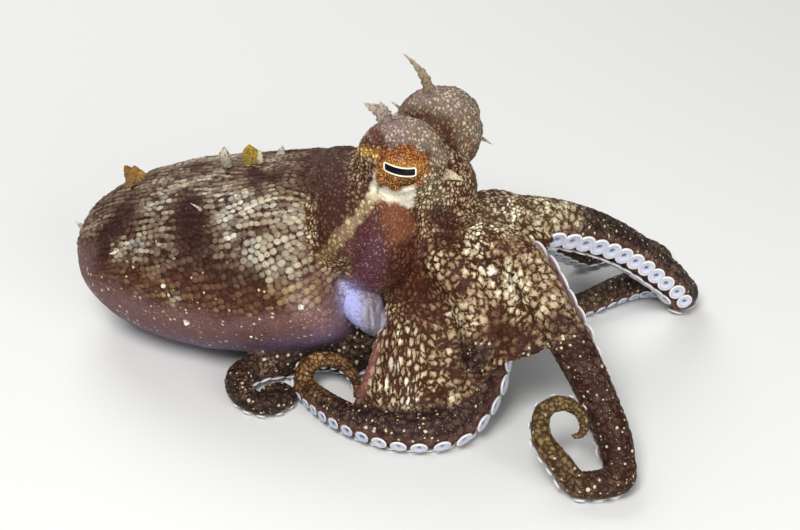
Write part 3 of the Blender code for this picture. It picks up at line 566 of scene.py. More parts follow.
class Paint:   # builds the nodes of one tree, a material's or a geometry group's
    def __init__(self, tree):
        self.tree = tree
        self.inGeometry = tree.bl_idname == "GeometryNodeTree"

    def node(self, kind, settings=None, sockets=None, output=0):
        made = self.tree.nodes.new(kind)
        for key, value in (settings or {}).items():
            if key != "stops":
                setattr(made, key, value)
                continue
            elements = made.color_ramp.elements
            while len(elements) < len(value):
                elements.new(0.5)
            for element, (place, code) in zip(elements, value):
                element.position = place
                element.color = (*tint(code), 1)
        for key, value in (sockets or {}).items():
            socket = made.inputs[key]
            if isinstance(value, Wire):
                self.tree.links.new(value.socket, socket)
            elif isinstance(value, tuple):
                socket.default_value = value + (1.0,) * (len(socket.default_value) - len(value))
            else:
                socket.default_value = value
        return Wire(self, made.outputs[output])

    def maths(self, operation, *values):
        return self.node("ShaderNodeMath", {"operation": operation}, dict(enumerate(values)))

    def lesser(self, a, b):
        return self.maths("MINIMUM", a, b)

    def greater(self, a, b):
        return self.maths("MAXIMUM", a, b)

    def vector(self, operation, a, b):
        return self.node("ShaderNodeVectorMath", {"operation": operation}, {0: a, 1: b})

    def scaled(self, a, factor):
        return self.node("ShaderNodeVectorMath", {"operation": "SCALE"}, {0: a, "Scale": factor})

    def rise(self, value, low, high):   # 0 below low and 1 above high, in an S
        return self.node("ShaderNodeMapRange", {"interpolation_type": "SMOOTHSTEP"},
                         {"Value": value, "From Min": low, "From Max": high})

    def mix(self, factor, a, b, kind="MIX"):   # of two colours, each a wire or a tone
        a, b = (tint(colour) if isinstance(colour, str) else colour for colour in (a, b))
        settings = {"data_type": "RGBA", "blend_type": kind}
        return self.node("ShaderNodeMix", settings, {0: factor, 6: a, 7: b}, 2)

    def ramp(self, value, stops):
        return self.node("ShaderNodeValToRGB", {"stops": stops}, {0: value})

    def noise(self, where, scale, detail=3.0, rough=0.5):
        return self.node("ShaderNodeTexNoise", {}, {"Vector": where, "Scale": scale, "Detail": detail,
                                                    "Roughness": rough})

    def cells(self, where, scale, random=0.8, flat=False, feature="F1"):
        settings = {"voronoi_dimensions": "2D" if flat else "3D", "feature": feature}
        return self.node("ShaderNodeTexVoronoi", settings,
                         {"Vector": where, "Scale": scale, "Randomness": random}, "Distance")

    def colourOf(self, wire):   # the colour output of the node that a wire comes from
        return Wire(self, wire.socket.node.outputs["Color"])

    def shadeOf(self, wire):   # the red part of that colour, as a number
        kind = "ShaderNodeSeparateXYZ" if self.inGeometry else "ShaderNodeSeparateColor"
        return self.node(kind, {}, {0: self.colourOf(wire)})

    def attribute(self, name, output="Fac"):
        if self.inGeometry:
            kind = {"Fac": "FLOAT", "Vector": "FLOAT_VECTOR"}[output]
            return self.node("GeometryNodeInputNamedAttribute", {"data_type": kind}, {"Name": name})
        return self.node("ShaderNodeAttribute", {"attribute_name": name}, {}, output)

    def bump(self, height, distance, strength=1.0):
        return self.node("ShaderNodeBump", {}, {"Height": height, "Distance": distance, "Strength": strength})

    def lead(self, **sockets):   # leads what changes over the surface to the shader
        for key, value in sockets.items():
            self.tree.links.new(value.socket, self.surface.inputs[key.replace("_", " ")])


def newMaterial(name, roughness, **constants):
    made = bpy.data.materials.new(name)
    made.use_nodes = True
    made.node_tree.nodes.clear()
    paint = Paint(made.node_tree)
    paint.material, paint.surface = made, made.node_tree.nodes.new("ShaderNodeBsdfPrincipled")
    out = made.node_tree.nodes.new("ShaderNodeOutputMaterial")
    made.node_tree.links.new(paint.surface.outputs[0], out.inputs[0])
    paint.surface.inputs["Roughness"].default_value = roughness
    for key, value in constants.items():
        paint.surface.inputs[key.replace("_", " ")].default_value = value
    return paint


grainLook = {
    "rowsRandom": 0.9,              # how unevenly the grains stand in their rows
    "fine": 0.82, "wide": 0.45,     # grains of the head and of the web, to the millimetre
    "lobes": 1.25, "lobed": 0.35,   # lobes on their edges, to the millimetre, and how deep they cut
    "shift": 0.9, "slow": 0.95,     # how many millimetres slow noise pulls the edges about, and its scale
    "full": 0.46,                   # how far in from its edge a grain is full
}


def skinGrains(paint):
    # how far inside a grain, 0 on its edge and 1 in its middle, and a random shade for each. Grains are the
    # cells round scattered points: in rows on the arms, small on the head, wide on the web. Noise pulls their
    # edges about, and smaller cells inside them make them lobed
    spread, flow = paint.attribute("spread", "Vector"), paint.attribute("flow", "Vector")
    fineShare, wideShare = paint.attribute("fineShare"), paint.attribute("wideShare")
    rowShare = 1 - fineShare - wideShare
    pull = paint.colourOf(paint.noise(spread, grainLook["slow"], 1, 0.5))
    pull = paint.scaled(paint.vector("SUBTRACT", pull, (0.5, 0.5, 0.5)), grainLook["shift"])
    spread, flow = (paint.vector("ADD", where, pull) for where in (spread, flow))
    lobes = paint.cells(spread, grainLook["lobes"], 1.0)

    def kind(where, scale, random, flat=False):
        edge = paint.cells(where, scale, random, flat, "DISTANCE_TO_EDGE")
        middle = paint.cells(where, scale, random, flat)
        inside = edge / (edge + middle * 0.75) + (0.42 - lobes) * grainLook["lobed"]
        return inside, paint.shadeOf(middle)

    rows = kind(flow, 1.0, grainLook["rowsRandom"], True)
    fine = kind(spread, grainLook["fine"], 0.95)
    wide = kind(spread, grainLook["wide"], 1.0)
    return [rows[n] * rowShare + fine[n] * fineShare + wide[n] * wideShare for n in (0, 1)]


def grainHeights(obj):
    # the material's own grain pattern, worked out at each point of the mesh by a geometry group
    tree = bpy.data.node_groups.new("grains", "GeometryNodeTree")
    for way in ("INPUT", "OUTPUT"):
        tree.interface.new_socket("Mesh", in_out=way, socket_type="NodeSocketGeometry")
    paint = Paint(tree)
    height = paint.rise(skinGrains(paint)[0], 0.0, grainLook["full"])
    stored = paint.node("GeometryNodeStoreNamedAttribute", {"data_type": "FLOAT", "domain": "POINT"},
                        {"Geometry": paint.node("NodeGroupInput"), "Name": "grain", "Value": height})
    tree.links.new(stored.socket, tree.nodes.new("NodeGroupOutput").inputs[0])
    obj.modifiers.new("grains", "NODES").node_group = tree
    found = usedUp(obj, lambda mesh: readRows(mesh.attributes["grain"].data, "value", 1)[:, 0])
    bpy.data.node_groups.remove(tree)
    return found


def gazeFrame(side):   # the eye's middle and the ways across, up and out of it
    out = unit(eyeShape[side]["look"])
    up = unit(np.array([0, 0, 1.0]) - out * out[2])
    across = np.cross(up, out)
    return eyeCentre(side), across * np.sign(across[0]), up, out


def gazeAt(points, side):   # each point's distances across, up and out from the middle of the eye
    centre, across, up, out = gazeFrame(side)
    return np.stack([(points - centre) @ way for way in (across, up, out)], axis=1)


def lineGap(points, start, end):   # how far each point is from the line between two places
    start, way = np.array(start, float), np.array(end, float) - np.array(start, float)
    t = np.clip((points - start) @ way / max(way @ way, 1e-9), 0, 1)
    return np.linalg.norm(points - start - t[:, None] * way, axis=1)


def stroke(points, start, end, radius, soft=1.0):   # 1 near that line, easing to 0 round this radius
    return 1 - ease(radius - soft, radius + soft, lineGap(points, start, end))


def skinShares(rest, fields):
    # which kind of grain covers the skin, how far it swells in millimetres, and where the patterns are read
    body, near = fields["body"], fields["arm"]
    down = np.degrees(np.abs(body["turn"]))
    onMantle = fields["mantleShare"] * ease(7, 15, body["thick"])
    onArm = fields["armShare"] * ease(14, 30, near["s"]) * (1 - fields["headShare"])
    wide = fields["webShare"] + fields["armShare"] * (1 - ease(14, 30, near["s"]))
    wide = np.clip(wide, 0, 1) * (1 - ease(36, 46, rest[:, 2]))
    rows = np.clip(onMantle + onArm, 0, 1)
    fine = np.clip(1 - rows - wide, 0, 1)
    wide = np.clip(1 - rows - fine, 0, 1)
    low = 1 - ease(92, 118, down - 0.3 * (body["x"] + 33))
    under = ease(1.5, 2.4, np.abs(near["angle"]))
    swell = fields["mantleShare"] * 0.08 * low + fields["headShare"] * 0.24
    swell += fields["armShare"] * 0.28 * (1 - under) * (0.35 + 0.65 * near["radius"] / armShape["root"])
    swell += fields["webShare"] * 0.36
    # grains of the web are drawn out down its front edge, by squeezing the space that they are scattered in
    way, middle = unit((0, -0.75, -0.66)), np.array([0.4, -24, 16])
    drawn = stroke(rest, (1.5, -18, 22), (-1, -30, 10), 5.5, 3.0)[:, None]
    level = ((rest - middle) @ way)[:, None] * way
    aside = rest - middle - level
    bound = 5.0 / np.maximum(np.linalg.norm(aside, axis=1), 5.0)[:, None]
    spread = rest + bound * aside - 0.35 * drawn * level
    return {"fineShare": fine, "wideShare": wide, "swell": swell, "spread": spread, "flow": flowAt(fields),
            "rest": rest}


def skinLumps(rest, fields):
    # slow swellings of the whole skin, rings round the arms, lids round the eyes and creases behind them
    body, near = fields["body"], fields["arm"]
    height = 0.28 * ripple(rest, 11, 3) * fields["mantleShare"]
    height += 0.22 * ripple(rest, 6, 4) * fields["webShare"]
    height += 0.16 * ripple(rest, 4.5, 5) * fields["headShare"]
    rings = np.sin(near["s"] * 2 * math.pi / 2.9 + 1.5 * ripple(rest, 8, 6))
    height += 0.09 * rings * fields["armShare"] * near["radius"] / armShape["root"]
    for side in ("right", "left"):
        gaze = gazeAt(rest, side)
        off = np.hypot(gaze[:, 0] / 6.3, (gaze[:, 1] + 0.1) / 4.9)
        lid = np.exp(-((off - 1.0) / np.where(off < 1.03, 0.13, 0.2)) ** 2)
        furrow = np.exp(-((off - 1.45) / 0.12) ** 2)
        height += ease(0, 3, gaze[:, 2]) * (lid - 0.25 * furrow)
    crease = np.sin((rest[:, 0] * -0.64 + rest[:, 2] * 0.77) * 2 * math.pi / 1.25 + ripple(rest, 5, 7))
    height += 0.16 * crease * stroke(rest, (7.5, -5.5, 50), (10.5, -3.5, 43), 4.2, 2.0)
    joint = np.exp(-(np.maximum(np.abs(body["gap"]), np.abs(fields["headGap"])) / 1.2) ** 2)
    return height - 0.7 * joint * (1 - ease(40, 48, rest[:, 2]))


markings = {   # lines of lighter and darker grains: start, end, how far they reach, and how much lighter
    "grains": [
        ((-46, 3.0, 46), (-39, -1.4, 47), 4.2, 0.5), ((-42, -3, 45.5), (-36.3, -12, 41), 4.4, 0.55),
        ((-36.3, -12, 41), (-30, -15.5, 38), 3.4, 0.4), ((-29, -8, 48.5), (-24.5, -13.5, 44), 5.0, 0.3),
        ((-64, -1, 34.5), (-69.5, 2, 31), 3.4, 0.6), ((-64, -1, 34.5), (-57, -4.5, 36), 2.6, 0.4),
        ((-60, 6.5, 41.5), (-57, 4, 43), 3.2, 0.45), ((-55, -9.5, 25), (-52, -10, 18), 2.4, 0.55),
        ((-26, -18, 35), (-23.3, -19.5, 28), 4.0, 0.4), ((-62, 12, 42), (-40, 8, 51), 3.0, 0.2),
        ((-52, 1.3, 43), (-50, -3, 41), 4.4, -0.9), ((-34.5, 2.2, 50.2), (-32, 1, 50.5), 3.4, -0.8),
        ((-17, -2, 53.5), (-16, -14, 48.5), 4.4, -0.9), ((-73, 5, 30), (-70, 8, 38), 4.4, -0.8),
        ((-50, -9, 35), (-42, -12.5, 33), 5.5, -0.35), ((13.2, 0.1, 50.2), (19, -10.9, 41.1), 3.2, 0.5),
        ((17, -13, 37), (25, -17, 34), 5.0, 0.35), ((24, -8, 42), (32, -9, 42), 5.0, 0.35),
        ((25, 1.5, 42), (42, 6, 38), 7.0, 0.4), ((4, -12, 38), (8, -12.5, 37), 2.2, 0.45),
        ((11.5, -18.5, 25.5), (17, -20.5, 23.5), 2.8, 0.5), ((30, -19, 34), (36, -24, 31), 3.6, 0.6),
        ((1, -20, 21), (-2, -29, 11), 5.0, 0.65), ((3, -32, 11), (14, -34, 13), 3.2, 0.5),
        ((6, -13, 34), (9, -16, 27), 3.0, 0.2), ((1, -11, 39), (1.5, -10, 28), 5.0, -0.6),
        ((4.5, -15, 29), (7, -19, 22), 3.2, -0.35), ((9, -4, 46), (12, -8, 41), 3.0, -0.7),
        ((21, -22, 24), (26, -25, 24), 3.6, -0.4), ((24, -12, 40), (29, -18, 35), 2.6, -0.3),
    ],
    "mirrored": ((-82, 27, 0), (8, -4, 0)),   # the far side repeats the mantle's marks across this line
}


def laid(colour, tone, mask):   # a tone, or one for each point, over what is there, where the mask is 1
    tone = np.array(tint(tone) if isinstance(tone, str) else tone)
    return colour * (1 - mask[:, None]) + tone * mask[:, None]


def grainBrightness(rest, fields):
    light = 0.5 + 0.2 * ripple(rest, 14, 11) + 0.12 * ripple(rest, 6, 12)
    wander = rest + 1.3 * np.stack([ripple(rest, 6, seed) for seed in (21, 22, 23)], axis=1)
    start, end = (np.array(place[:2], float) for place in markings["mirrored"])
    way = unit(end - start)
    across = np.array([-way[1], way[0]])
    side = (wander[:, :2] - start) @ across
    folded = wander.copy()
    folded[:, :2] -= 2 * (side * (side > 0))[:, None] * across
    onMantle = fields["mantleShare"] > 0.4
    wander[onMantle] = folded[onMantle]
    for start, end, reach, much in markings["grains"]:
        light += much * np.exp(-(lineGap(wander, start, end) / reach) ** 2)
    return light


def toneRamp(light, stops):   # colours between named stops
    places = [place for place, _ in stops]
    table = np.array([tint(name) for _, name in stops])
    return np.stack([np.interp(light, places, table[:, k]) for k in range(3)], axis=1)


gazeDaubs = [   # across each eye: start, end, reach, softness, groove tone, grain tone, how much, smooth
    ((-5.0, 9.4), (4.5, 8.4), 3.6, 1.6, "#97857d", "#a89a93", 0.94, 0.1),   # pinkish grey over the dome
    ((3.0, 9.0), (9.4, 1.6), 2.4, 1.2, "#8f8071", "#b3a896", 0.9, 0.0),      # paler ridge in front of them
    ((5.4, -3.0), (8.2, -9.4), 2.8, 1.2, "#6f5f4b", "#d4ceb2", 0.94, 0.0),    # tan grains below and in front
    ((8.4, -11.0), (10.5, -15.0), 2.2, 1.4, "#2b1216", "#4a2622", 0.85, 0.3),
    ((-6.4, 7.6), (-4.4, 5.2), 1.3, 0.8, "#4d1f14", "#7a3a22", 0.9, 0.3),    # red-brown over the gold corner
    ((-2.0, -11.8), (-1.0, -14.5), 3.6, 1.4, "#804b34", "#a8704e", 0.95, 0.85),   # rust under the white
    ((-9.0, -15.0), (-9.4, -20.0), 4.4, 2.2, "#542a2e", "#70403c", 0.95, 0.85),
    ((-7.6, -20.0), (-8.4, -27.0), 4.0, 2.0, "#57303f", "#7a4c58", 0.9, 0.9),
    ((-10.8, 3.4), (-6.0, 2.9), 1.2, 0.6, "#a8782a", "#ecd08a", 0.9, 0.2),   # the bright gold corner
    ((-3.9, -6.6), (1.2, -7.0), 1.9, 0.5, "#ece6d3", "#fbf8ec", 1.0, 0.95),   # the white under the eye
    ((1.6, -4.2), (1.4, -9.0), 1.3, 0.4, "#ece6d3", "#fbf8ec", 1.0, 0.95),
    ((-6.4, -2.4), (-7.4, -7.2), 1.0, 0.4, "#e6dfc6", "#f6f1de", 1.0, 0.95),
    ((-7.2, -7.6), (-4.0, -7.8), 1.0, 0.5, "#cbbd9c", "#e9e0c8", 0.9, 0.6),
    ((-8.0, -8.6), (-14.2, -15.4), 1.3, 0.6, "#a38f6c", "#ddd0ac", 0.9, 0.4),
    ((-14.2, -15.4), (-19.4, -21.4), 1.5, 0.8, "#7c6446", "#cdbb92", 0.85, 0.2),
]


armLook = {
    "darkFrom": [25, 36, 26, 20, 27, 27, 27, 27],   # mm from the root, in the order of armNames
    "deep": ("#191419", "#30130f", "#211418", "#1f1311"),   # grooves of the dark part, first to fourth arm
    "ends": ("#6d5a40", "#8a7d48", "#ab8450", "#54403a"),   # grains near the tip, first to fourth arm
}
skinTones = {   # of the grains, from the darkest to the lightest
    "grains": [(-0.2, "#2f1d18"), (0.1, "#50382d"), (0.35, "#836c56"), (0.55, "#a6957b"), (0.8, "#c4b99f"),
               (1.1, "#dfdbc8")],
    "low": [(0.0, "#5a3827"), (0.45, "#86603a"), (0.75, "#ad915f"), (1.0, "#d2c8aa")],
}


def paintSkin(rest, normals, fields):
    # colour of the grooves and of the grains, and how much of the grains, specks, dots and gold shows
    body, near = fields["body"], fields["arm"]
    mantle, head, arm, web = (fields[key] for key in shareNames)
    down = np.degrees(np.abs(body["turn"]))
    wander = rest + 0.7 * np.stack([ripple(rest, 3.2, seed) for seed in (31, 32, 33)], axis=1)
    light = grainBrightness(rest, fields) - 0.05 * mantle * ease(-62, -50, rest[:, 0])
    count = len(rest)
    net = laid(np.tile(tint("maroon"), (count, 1)), "night", 0.5 * ease(0.1, 0.8, 1 - light))
    cell = toneRamp(light, skinTones["grains"])
    share = np.ones(count)

    def lay(mask, much, grains=None, grooves=None, smooth=0.0):
        # tones over the grains and the grooves where the mask is 1, and how far the grains fade there
        nonlocal cell, net, share
        if grains is not None:
            cell = laid(cell, grains, much * mask)
        if grooves is not None:
            net = laid(net, grooves, much * mask)
        share = share * (1 - smooth * mask)

    # mantle: red-brown low on the sides with tan grains, then a smooth dusty belly, violet underneath
    tail = ease(67, 75, -body["x"])
    edge = 75 + 0.35 * (body["x"] + 33) + 5 * ripple(rest, 9, 13)
    low = mantle * np.maximum(ease(-7, 9, down - edge), tail * ease(38, 60, down))
    lay(low, 0.8, None, "#4a2216")
    lay(low, 1.0, toneRamp(light, skinTones["low"]))
    belly = mantle * np.maximum(ease(-9, 7, down - edge - 24), tail * ease(45, 66, down))
    lay(belly, 0.88, None, "#90696e", 0.93)
    lay(mantle * ease(114, 134, down + 2 * ripple(rest, 7, 14)), 0.75, None, "violet")
    # head: brown with tan grains, grey over the far eye, painted shadow in the valley between the domes, dark
    # on the crown and at the nape
    lay(head, 0.75, None, "#522d20")
    lay(head, 0.55, "#a3917a")
    farDome = stroke(wander, (9.4, 21.4, 54), (9.4, 21.4, 56), 12.2, 1.5) * head
    lay(farDome, 0.88, "#8c8672", "#80745f")
    lay(farDome * ease(-0.1, 0.7, ripple(rest, 5.5, 61)), 0.7, "#a07a4a", "#6a4526")
    # painted shadow: a dark band down the far dome, on its side towards the near dome
    lay(farDome * stroke(wander, (12.2, 14.7, 62.6), (11.4, 10.8, 57.0), 1.3, 1.2), 0.8, "#6b4426", "#3f2213")
    lay(farDome * stroke(wander, (17.5, 15, 61), (20.5, 20, 55), 3.0, 2.0), 0.7, "#b5aaa0", "#857668")
    off, farOff = (np.linalg.norm(rest - eyeShape[side]["dome"], axis=1) for side in ("right", "left"))
    off = off - eyeShape["domeRadius"]
    # painted shadow: darker grains and grooves in the valley between the near and the far dome
    valleyShadow = head * ease(0.3, 1.1, off + 0.5 * ripple(rest, 3, 18)) * (1 - ease(3.2, 6.5, off))
    valleyShadow *= ease(44, 50, rest[:, 2]) * (1 - ease(13, 14.5, farOff))
    lay(valleyShadow, 0.85, "#4d2c22", "#2a1310")
    lay(stroke(wander, (-1, 8, 62), (3, 14, 58), 5, 2.5) * head, 0.6, "#8a5b48", "#4d241c")
    nape = stroke(wander, (-19, 0, 50), (-17, 12, 52), 6.5, 2.5) * (1 - 0.4 * mantle)
    nape = np.maximum(nape, stroke(wander, (-16.8, -1, 53.5), (-15.8, -12, 50.5), 4.0, 1.8))
    nape = np.maximum(nape, stroke(wander, (-15.8, -12, 50.5), (-16, -16.5, 42.5), 3.6, 1.8))
    lay(nape, 0.9, "#5e3d34", "#371810", 0.4)
    lay(stroke(wander, (-21.6, -5, 50), (-21.6, -13, 44.5), 2.2, 1.4) * (1 - nape), 0.8, "#c2b89c")
    throat = stroke(wander, (1, -11, 38.5), (1, -9, 28), 5.2, 2.6)
    throat = np.maximum(throat, 0.8 * stroke(wander, (1, -9, 28), (4, -15, 23), 3.6, 2.4)) * (1 - mantle)
    lay(throat, 0.8, "#75462f", "#3b1a14", 0.45)
    gold, plain, clean = np.zeros((3, count))
    for side in ("right", "left"):
        gaze = gazeAt(wander, side)
        front = ease(-10, -6, gaze[:, 2]) * (1 - mantle)
        for start, end, reach, soft, grooves, grains, much, smooth in gazeDaubs:
            mask = much * front * stroke(gaze[:, :2], start, end, reach, soft)
            lay(mask, 1.0, grains, grooves, smooth)
            plain += smooth * mask
            clean = np.maximum(clean, mask * (much > 0.99))
        away = np.hypot((gaze[:, 0] + 0.2) / 6.0, gaze[:, 1] / 4.9) + 0.05 * ripple(rest, 2.6, 19)
        ring = ease(-2, 1, gaze[:, 2]) * (1 - ease(0.88, 1.08, away)) * ease(-4.9, -4.2, gaze[:, 1])
        clean *= 1 - ring
        lay(ring, 0.9, "#94481c", "#5a2114")
        gold = np.maximum(gold, 0.85 * ring)
    # painted light: a blue-white glow painted over the opening of the mantle, behind the funnel, with a
    # dimmer bluish haze round it
    glowHaze = stroke(rest, (-13, -12, 27), (-8, -14, 20), 4.4, 3.2) * (1 - 0.4 * mantle)
    lay(glowHaze, 0.75, "#8c86b4", "#8c86b4")
    lay(stroke(rest, (-13.5, -12, 28.0), (-12.0, -13, 24), 2.2, 1.6), 0.9, "glow", "glow")
    # web and arms: cream grains near the head, dark with white dots further out, olive at the tips
    number = near["number"]
    inner = ease(0.3, 0.8, (normals * near["oral"]).sum(1))
    inner *= web + arm * ease(1.7, 2.3, np.abs(near["angle"]))
    inner *= (1 - head) * (1 - mantle)
    far = arm * ease(0, 9, near["s"] - np.array(armLook["darkFrom"])[number] + 3 * ripple(rest, 8, 15))
    far *= 1 - 0.9 * stroke(wander, (7, -28, 15), (14, -31.5, 12.5), 4.6, 2.2)
    far = np.maximum(far, 0.8 * web * ease(34, 46, near["s"]) * (number != 2))
    far = np.maximum(far, 0.9 * arm * (number == 3))
    pale = (web + arm) * (1 - far)
    first = arm * (1 - far) * (number == 0)
    cell = cell * (1 + pale[:, None] * np.array([0.09, 0.13, 0.15]))
    cell = cell * (1 + first[:, None] * np.array([0.0, 0.05, 0.11]))
    lay(pale * (1 - inner), 0.85, None, "#452214")
    lay(first * (1 - inner), 0.55, None, "#5a4a34")
    lay(pale * ease(0.15, 0.8, -ripple(rest, 8, 17)), 0.55, "#6a4931")
    deep, ends = (np.array([tint(code) for code in armLook[key]])[number % 4] for key in ("deep", "ends"))
    lay(far, 0.94, None, deep)
    lay(far, 0.92, "#4c3430")
    band = far * ease(0.5, 1.1, ripple(rest, 9, 16))
    lay(band, 0.6, "#93796a")
    share *= 1 - 0.94 * far * (1 - 0.7 * band)
    tips = arm * ease(0.62, 0.82, near["share"]) * (number != 3)
    lay(tips, 0.75, None, "#46331a")
    lay(tips, 0.8, ends)
    share += 0.6 * tips * (1 - share)
    lay(tips * ease(0.1, 0.7, ripple(rest, 3.4, 62)), 0.7, "#4c3722")
    lay(inner, 0.5, None, "#8a5a50")
    lay(inner, 0.7, "#a98d85", None, 0.5)
    roll = np.maximum(stroke(rest, (-4.5, -14, 29), (-7.6, -23, 14), 1.8, 1.0),
                      stroke(rest, (-7.6, -23, 14), (-8.4, -28, 8), 1.8, 1.0)) * (1 - mantle) * (1 - head)
    lay(roll, 0.85, "#a8766a", "#9a6a60", 0.8)
    dots = far * (1 - tips) + 0.3 * low * (1 - belly) + 0.4 * belly * (1 - ease(130, 150, down))
    dusty = mantle * stroke(rest, (-19, -18.5, 29), (-14, -14, 22), 6, 4)
    specks = 0.1 + 0.55 * belly + 0.9 * dusty + 0.45 * plain * (1 - gold)
    lay(dusty, 0.45, None, "#a07c88")
    opaque = np.ones((count, 1))
    return {"netTone": np.hstack([net, opaque]), "cellTone": np.hstack([cell, opaque]),
            "cellShare": share * (1 - 0.9 * gold), "dotShare": dots.clip(0, 1),
            "speckShare": specks.clip(0, 1), "goldShare": gold, "cleanShare": clean, "belly": belly}


def thinned(points, faces, rest, target):
    # a collapse to the wanted count of triangles, which keeps small faces where the surface bends most
    thick = meshObject("thickSkin", points, faces, {"rest": rest})
    step = thick.modifiers.new("thin", "DECIMATE")
    step.ratio = target / (len(faces) * 2)
    step.use_collapse_triangulate = True
    return usedUp(thick, lambda mesh: (*readShape(mesh), readRows(mesh.attributes["rest"].data, "vector", 3)))


def skin():
    points, faces, edges = roughSkin()
    rest = mendedSkin(points, edges)
    print("skin is one surface of", len(rest), "points")
    fields = fieldsAt(rest)
    shares = skinShares(rest, fields)
    grain = grainHeights(meshObject("trialSkin", rest, faces, shares))
    height = skinLumps(rest, fields) + (grain - 0.6) * shares["swell"]
    points = rest + meshNormals(rest, faces) * height[:, None]
    points, faces, rest = thinned(points, faces, rest, skinShape["triangles"])
    points, faces = outward(points, faces)
    points[:, 2] = points[:, 2].clip(0.02)
    fields = fieldsAt(rest)
    attributes = skinShares(rest, fields)
    attributes.update(paintSkin(rest, meshNormals(points, faces), fields))
    attributes.pop("belly")
    attributes["cellShare"] *= 1 - fields["mantleShare"] * ease(7, 15, fields["body"]["thick"])
    obj = meshObject("skin", finishedPoints(points), faces, attributes)
    starts = ("arm_", "web_", "mantle", "head")
    flesh = [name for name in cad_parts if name.startswith(starts)]
    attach(obj, "root")
    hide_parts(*flesh)
    obj.data.materials.append(skinMaterial())
    print("skin finished with", len(faces), "triangles")


skinLook = {
    "bright": 1.3, "warm": (0.78, 0.62, 0.4),   # of the grains' tones, and of the edges of the grains
    "groove": (0.5, 0.42, 0.42),                # darker flecks in the grooves
    "mottle": 0.45, "stipple": 1.75,            # slow and fine noise, to the millimetre
    "dots": 0.66, "grit": 1.6, "leaf": 3.0,     # dots of two sizes and flakes of gold, to the millimetre
    "depth": 0.0012, "relief": 0.9,             # of the bumps
}


def skinMaterial():
    paint = newMaterial("octopusSkin", 0.5, Specular_IOR_Level=0.14)
    inside, shade = skinGrains(paint)
    rest = paint.attribute("rest", "Vector")
    mottle = paint.noise(rest, skinLook["mottle"], 3)
    stipple = paint.noise(rest, skinLook["stipple"], 2, 0.7)
    fleck = paint.shadeOf(stipple)   # a second noise from the same node
    net, tone = paint.attribute("netTone", "Color"), paint.attribute("cellTone", "Color")
    tone = paint.scaled(tone, skinLook["bright"])
    clean, shown, many = (paint.attribute(name) for name in ("cleanShare", "cellShare", "dotShare"))
    rough = 1 - clean
    net = paint.mix(paint.rise(stipple, 0.36, 0.62) * rough, net, skinLook["groove"], "MULTIPLY")
    darker = paint.mix(0.68, tone, net)
    warm = paint.mix(0.5, paint.mix(1.0, tone, skinLook["warm"], "MULTIPLY"), net)
    lit = paint.mix(paint.rise(shade * 0.8 + mottle * 0.9, 0.4, 1.0), darker, tone)
    lit = paint.mix(paint.rise(fleck, 0.53, 0.66) * 0.5 * rough, lit, darker)
    edge = inside - paint.rise(shade, 0.45, 0.0) * 0.28 + (stipple - 0.5) * 0.5 + (mottle - 0.5) * 0.7
    grain = paint.rise(edge, 0.0, grainLook["full"])
    colour = paint.mix(paint.rise(edge, 0.04, 0.28) * shown, net, warm)
    colour = paint.mix(paint.rise(edge, 0.18, grainLook["full"] + 0.2) * shown, colour, lit)
    specks = paint.rise(fleck, 0.56, 0.68) * paint.attribute("speckShare")
    colour = paint.mix(specks * 0.75, colour, paint.mix(0.5, tone, "cream"))
    # white dots of two sizes on the dark arms and low on the mantle
    spot = paint.cells(rest, skinLook["dots"], 1.0)
    spotShade = paint.shadeOf(spot)
    dots = 1 - paint.rise(spot + stipple * 0.2 - spotShade * 0.4 * mottle, 0.1, 0.24)
    dots = dots * paint.rise(spotShade + mottle * 0.6 + many * 0.8, 1.24, 1.36) * paint.lesser(many * 3, 1.0)
    grit = paint.cells(rest, skinLook["grit"], 1.0)
    grit = (1 - paint.rise(grit, 0.12, 0.26)) * paint.rise(paint.shadeOf(grit), 0.55, 0.75)
    dots = paint.greater(dots * 0.75, grit * 0.55 * many)
    colour = paint.mix(dots, colour, "cream")
    leaf = paint.rise(paint.noise(rest, skinLook["leaf"], 2, 0.75), 0.5, 0.62)
    colour = paint.mix(paint.attribute("goldShare"), colour, paint.mix(leaf, "#501f0c", "#d29648"))
    relief = grain * paint.attribute("swell") * (shown * 0.5 + 0.2) + stipple * 0.12 + dots * 0.15
    normal = paint.bump(relief, skinLook["depth"], skinLook["relief"])
    paint.lead(Base_Color=colour, Normal=normal, Roughness=0.42 + mottle * 0.22)
    return paint.material


def eyes():
    # each a sphere by angles from the way the eye looks and round it
    away = np.linspace(0, math.pi, 66)[1:-1, None, None]
    turn = circle(64)[None, :, None]
    material, ball = eyeMaterial(), eyeShape["ball"]
    for side in ("right", "left"):
        centre, across, up, out = gazeFrame(side)
        way = np.sin(away) * (np.cos(turn) * across + np.sin(turn) * up)
        way = way + np.cos(away) * out * np.ones_like(turn)
        points, faces = capped(centre + ball * way, centre + ball * out, centre - ball * out)
        gaze = {"gaze": gazeAt(points, side)}
        obj = meshObject("eye" + side.capitalize(), finishedPoints(points), faces, gaze)
        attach(obj, "root")
        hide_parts("eye_" + side)
        obj.data.materials.append(material)
    print("eyes finished")


pupilLook = {   # millimetres on the eye, across and up: a bar with round corners and a pale rim
    "middle": (-0.75, -0.62), "half": (3.55, 0.8), "corner": 0.35, "rim": 0.32,
    "curve": 0.044, "tilt": -0.19, "lift": 0.3,   # how far the bar bends and leans
}


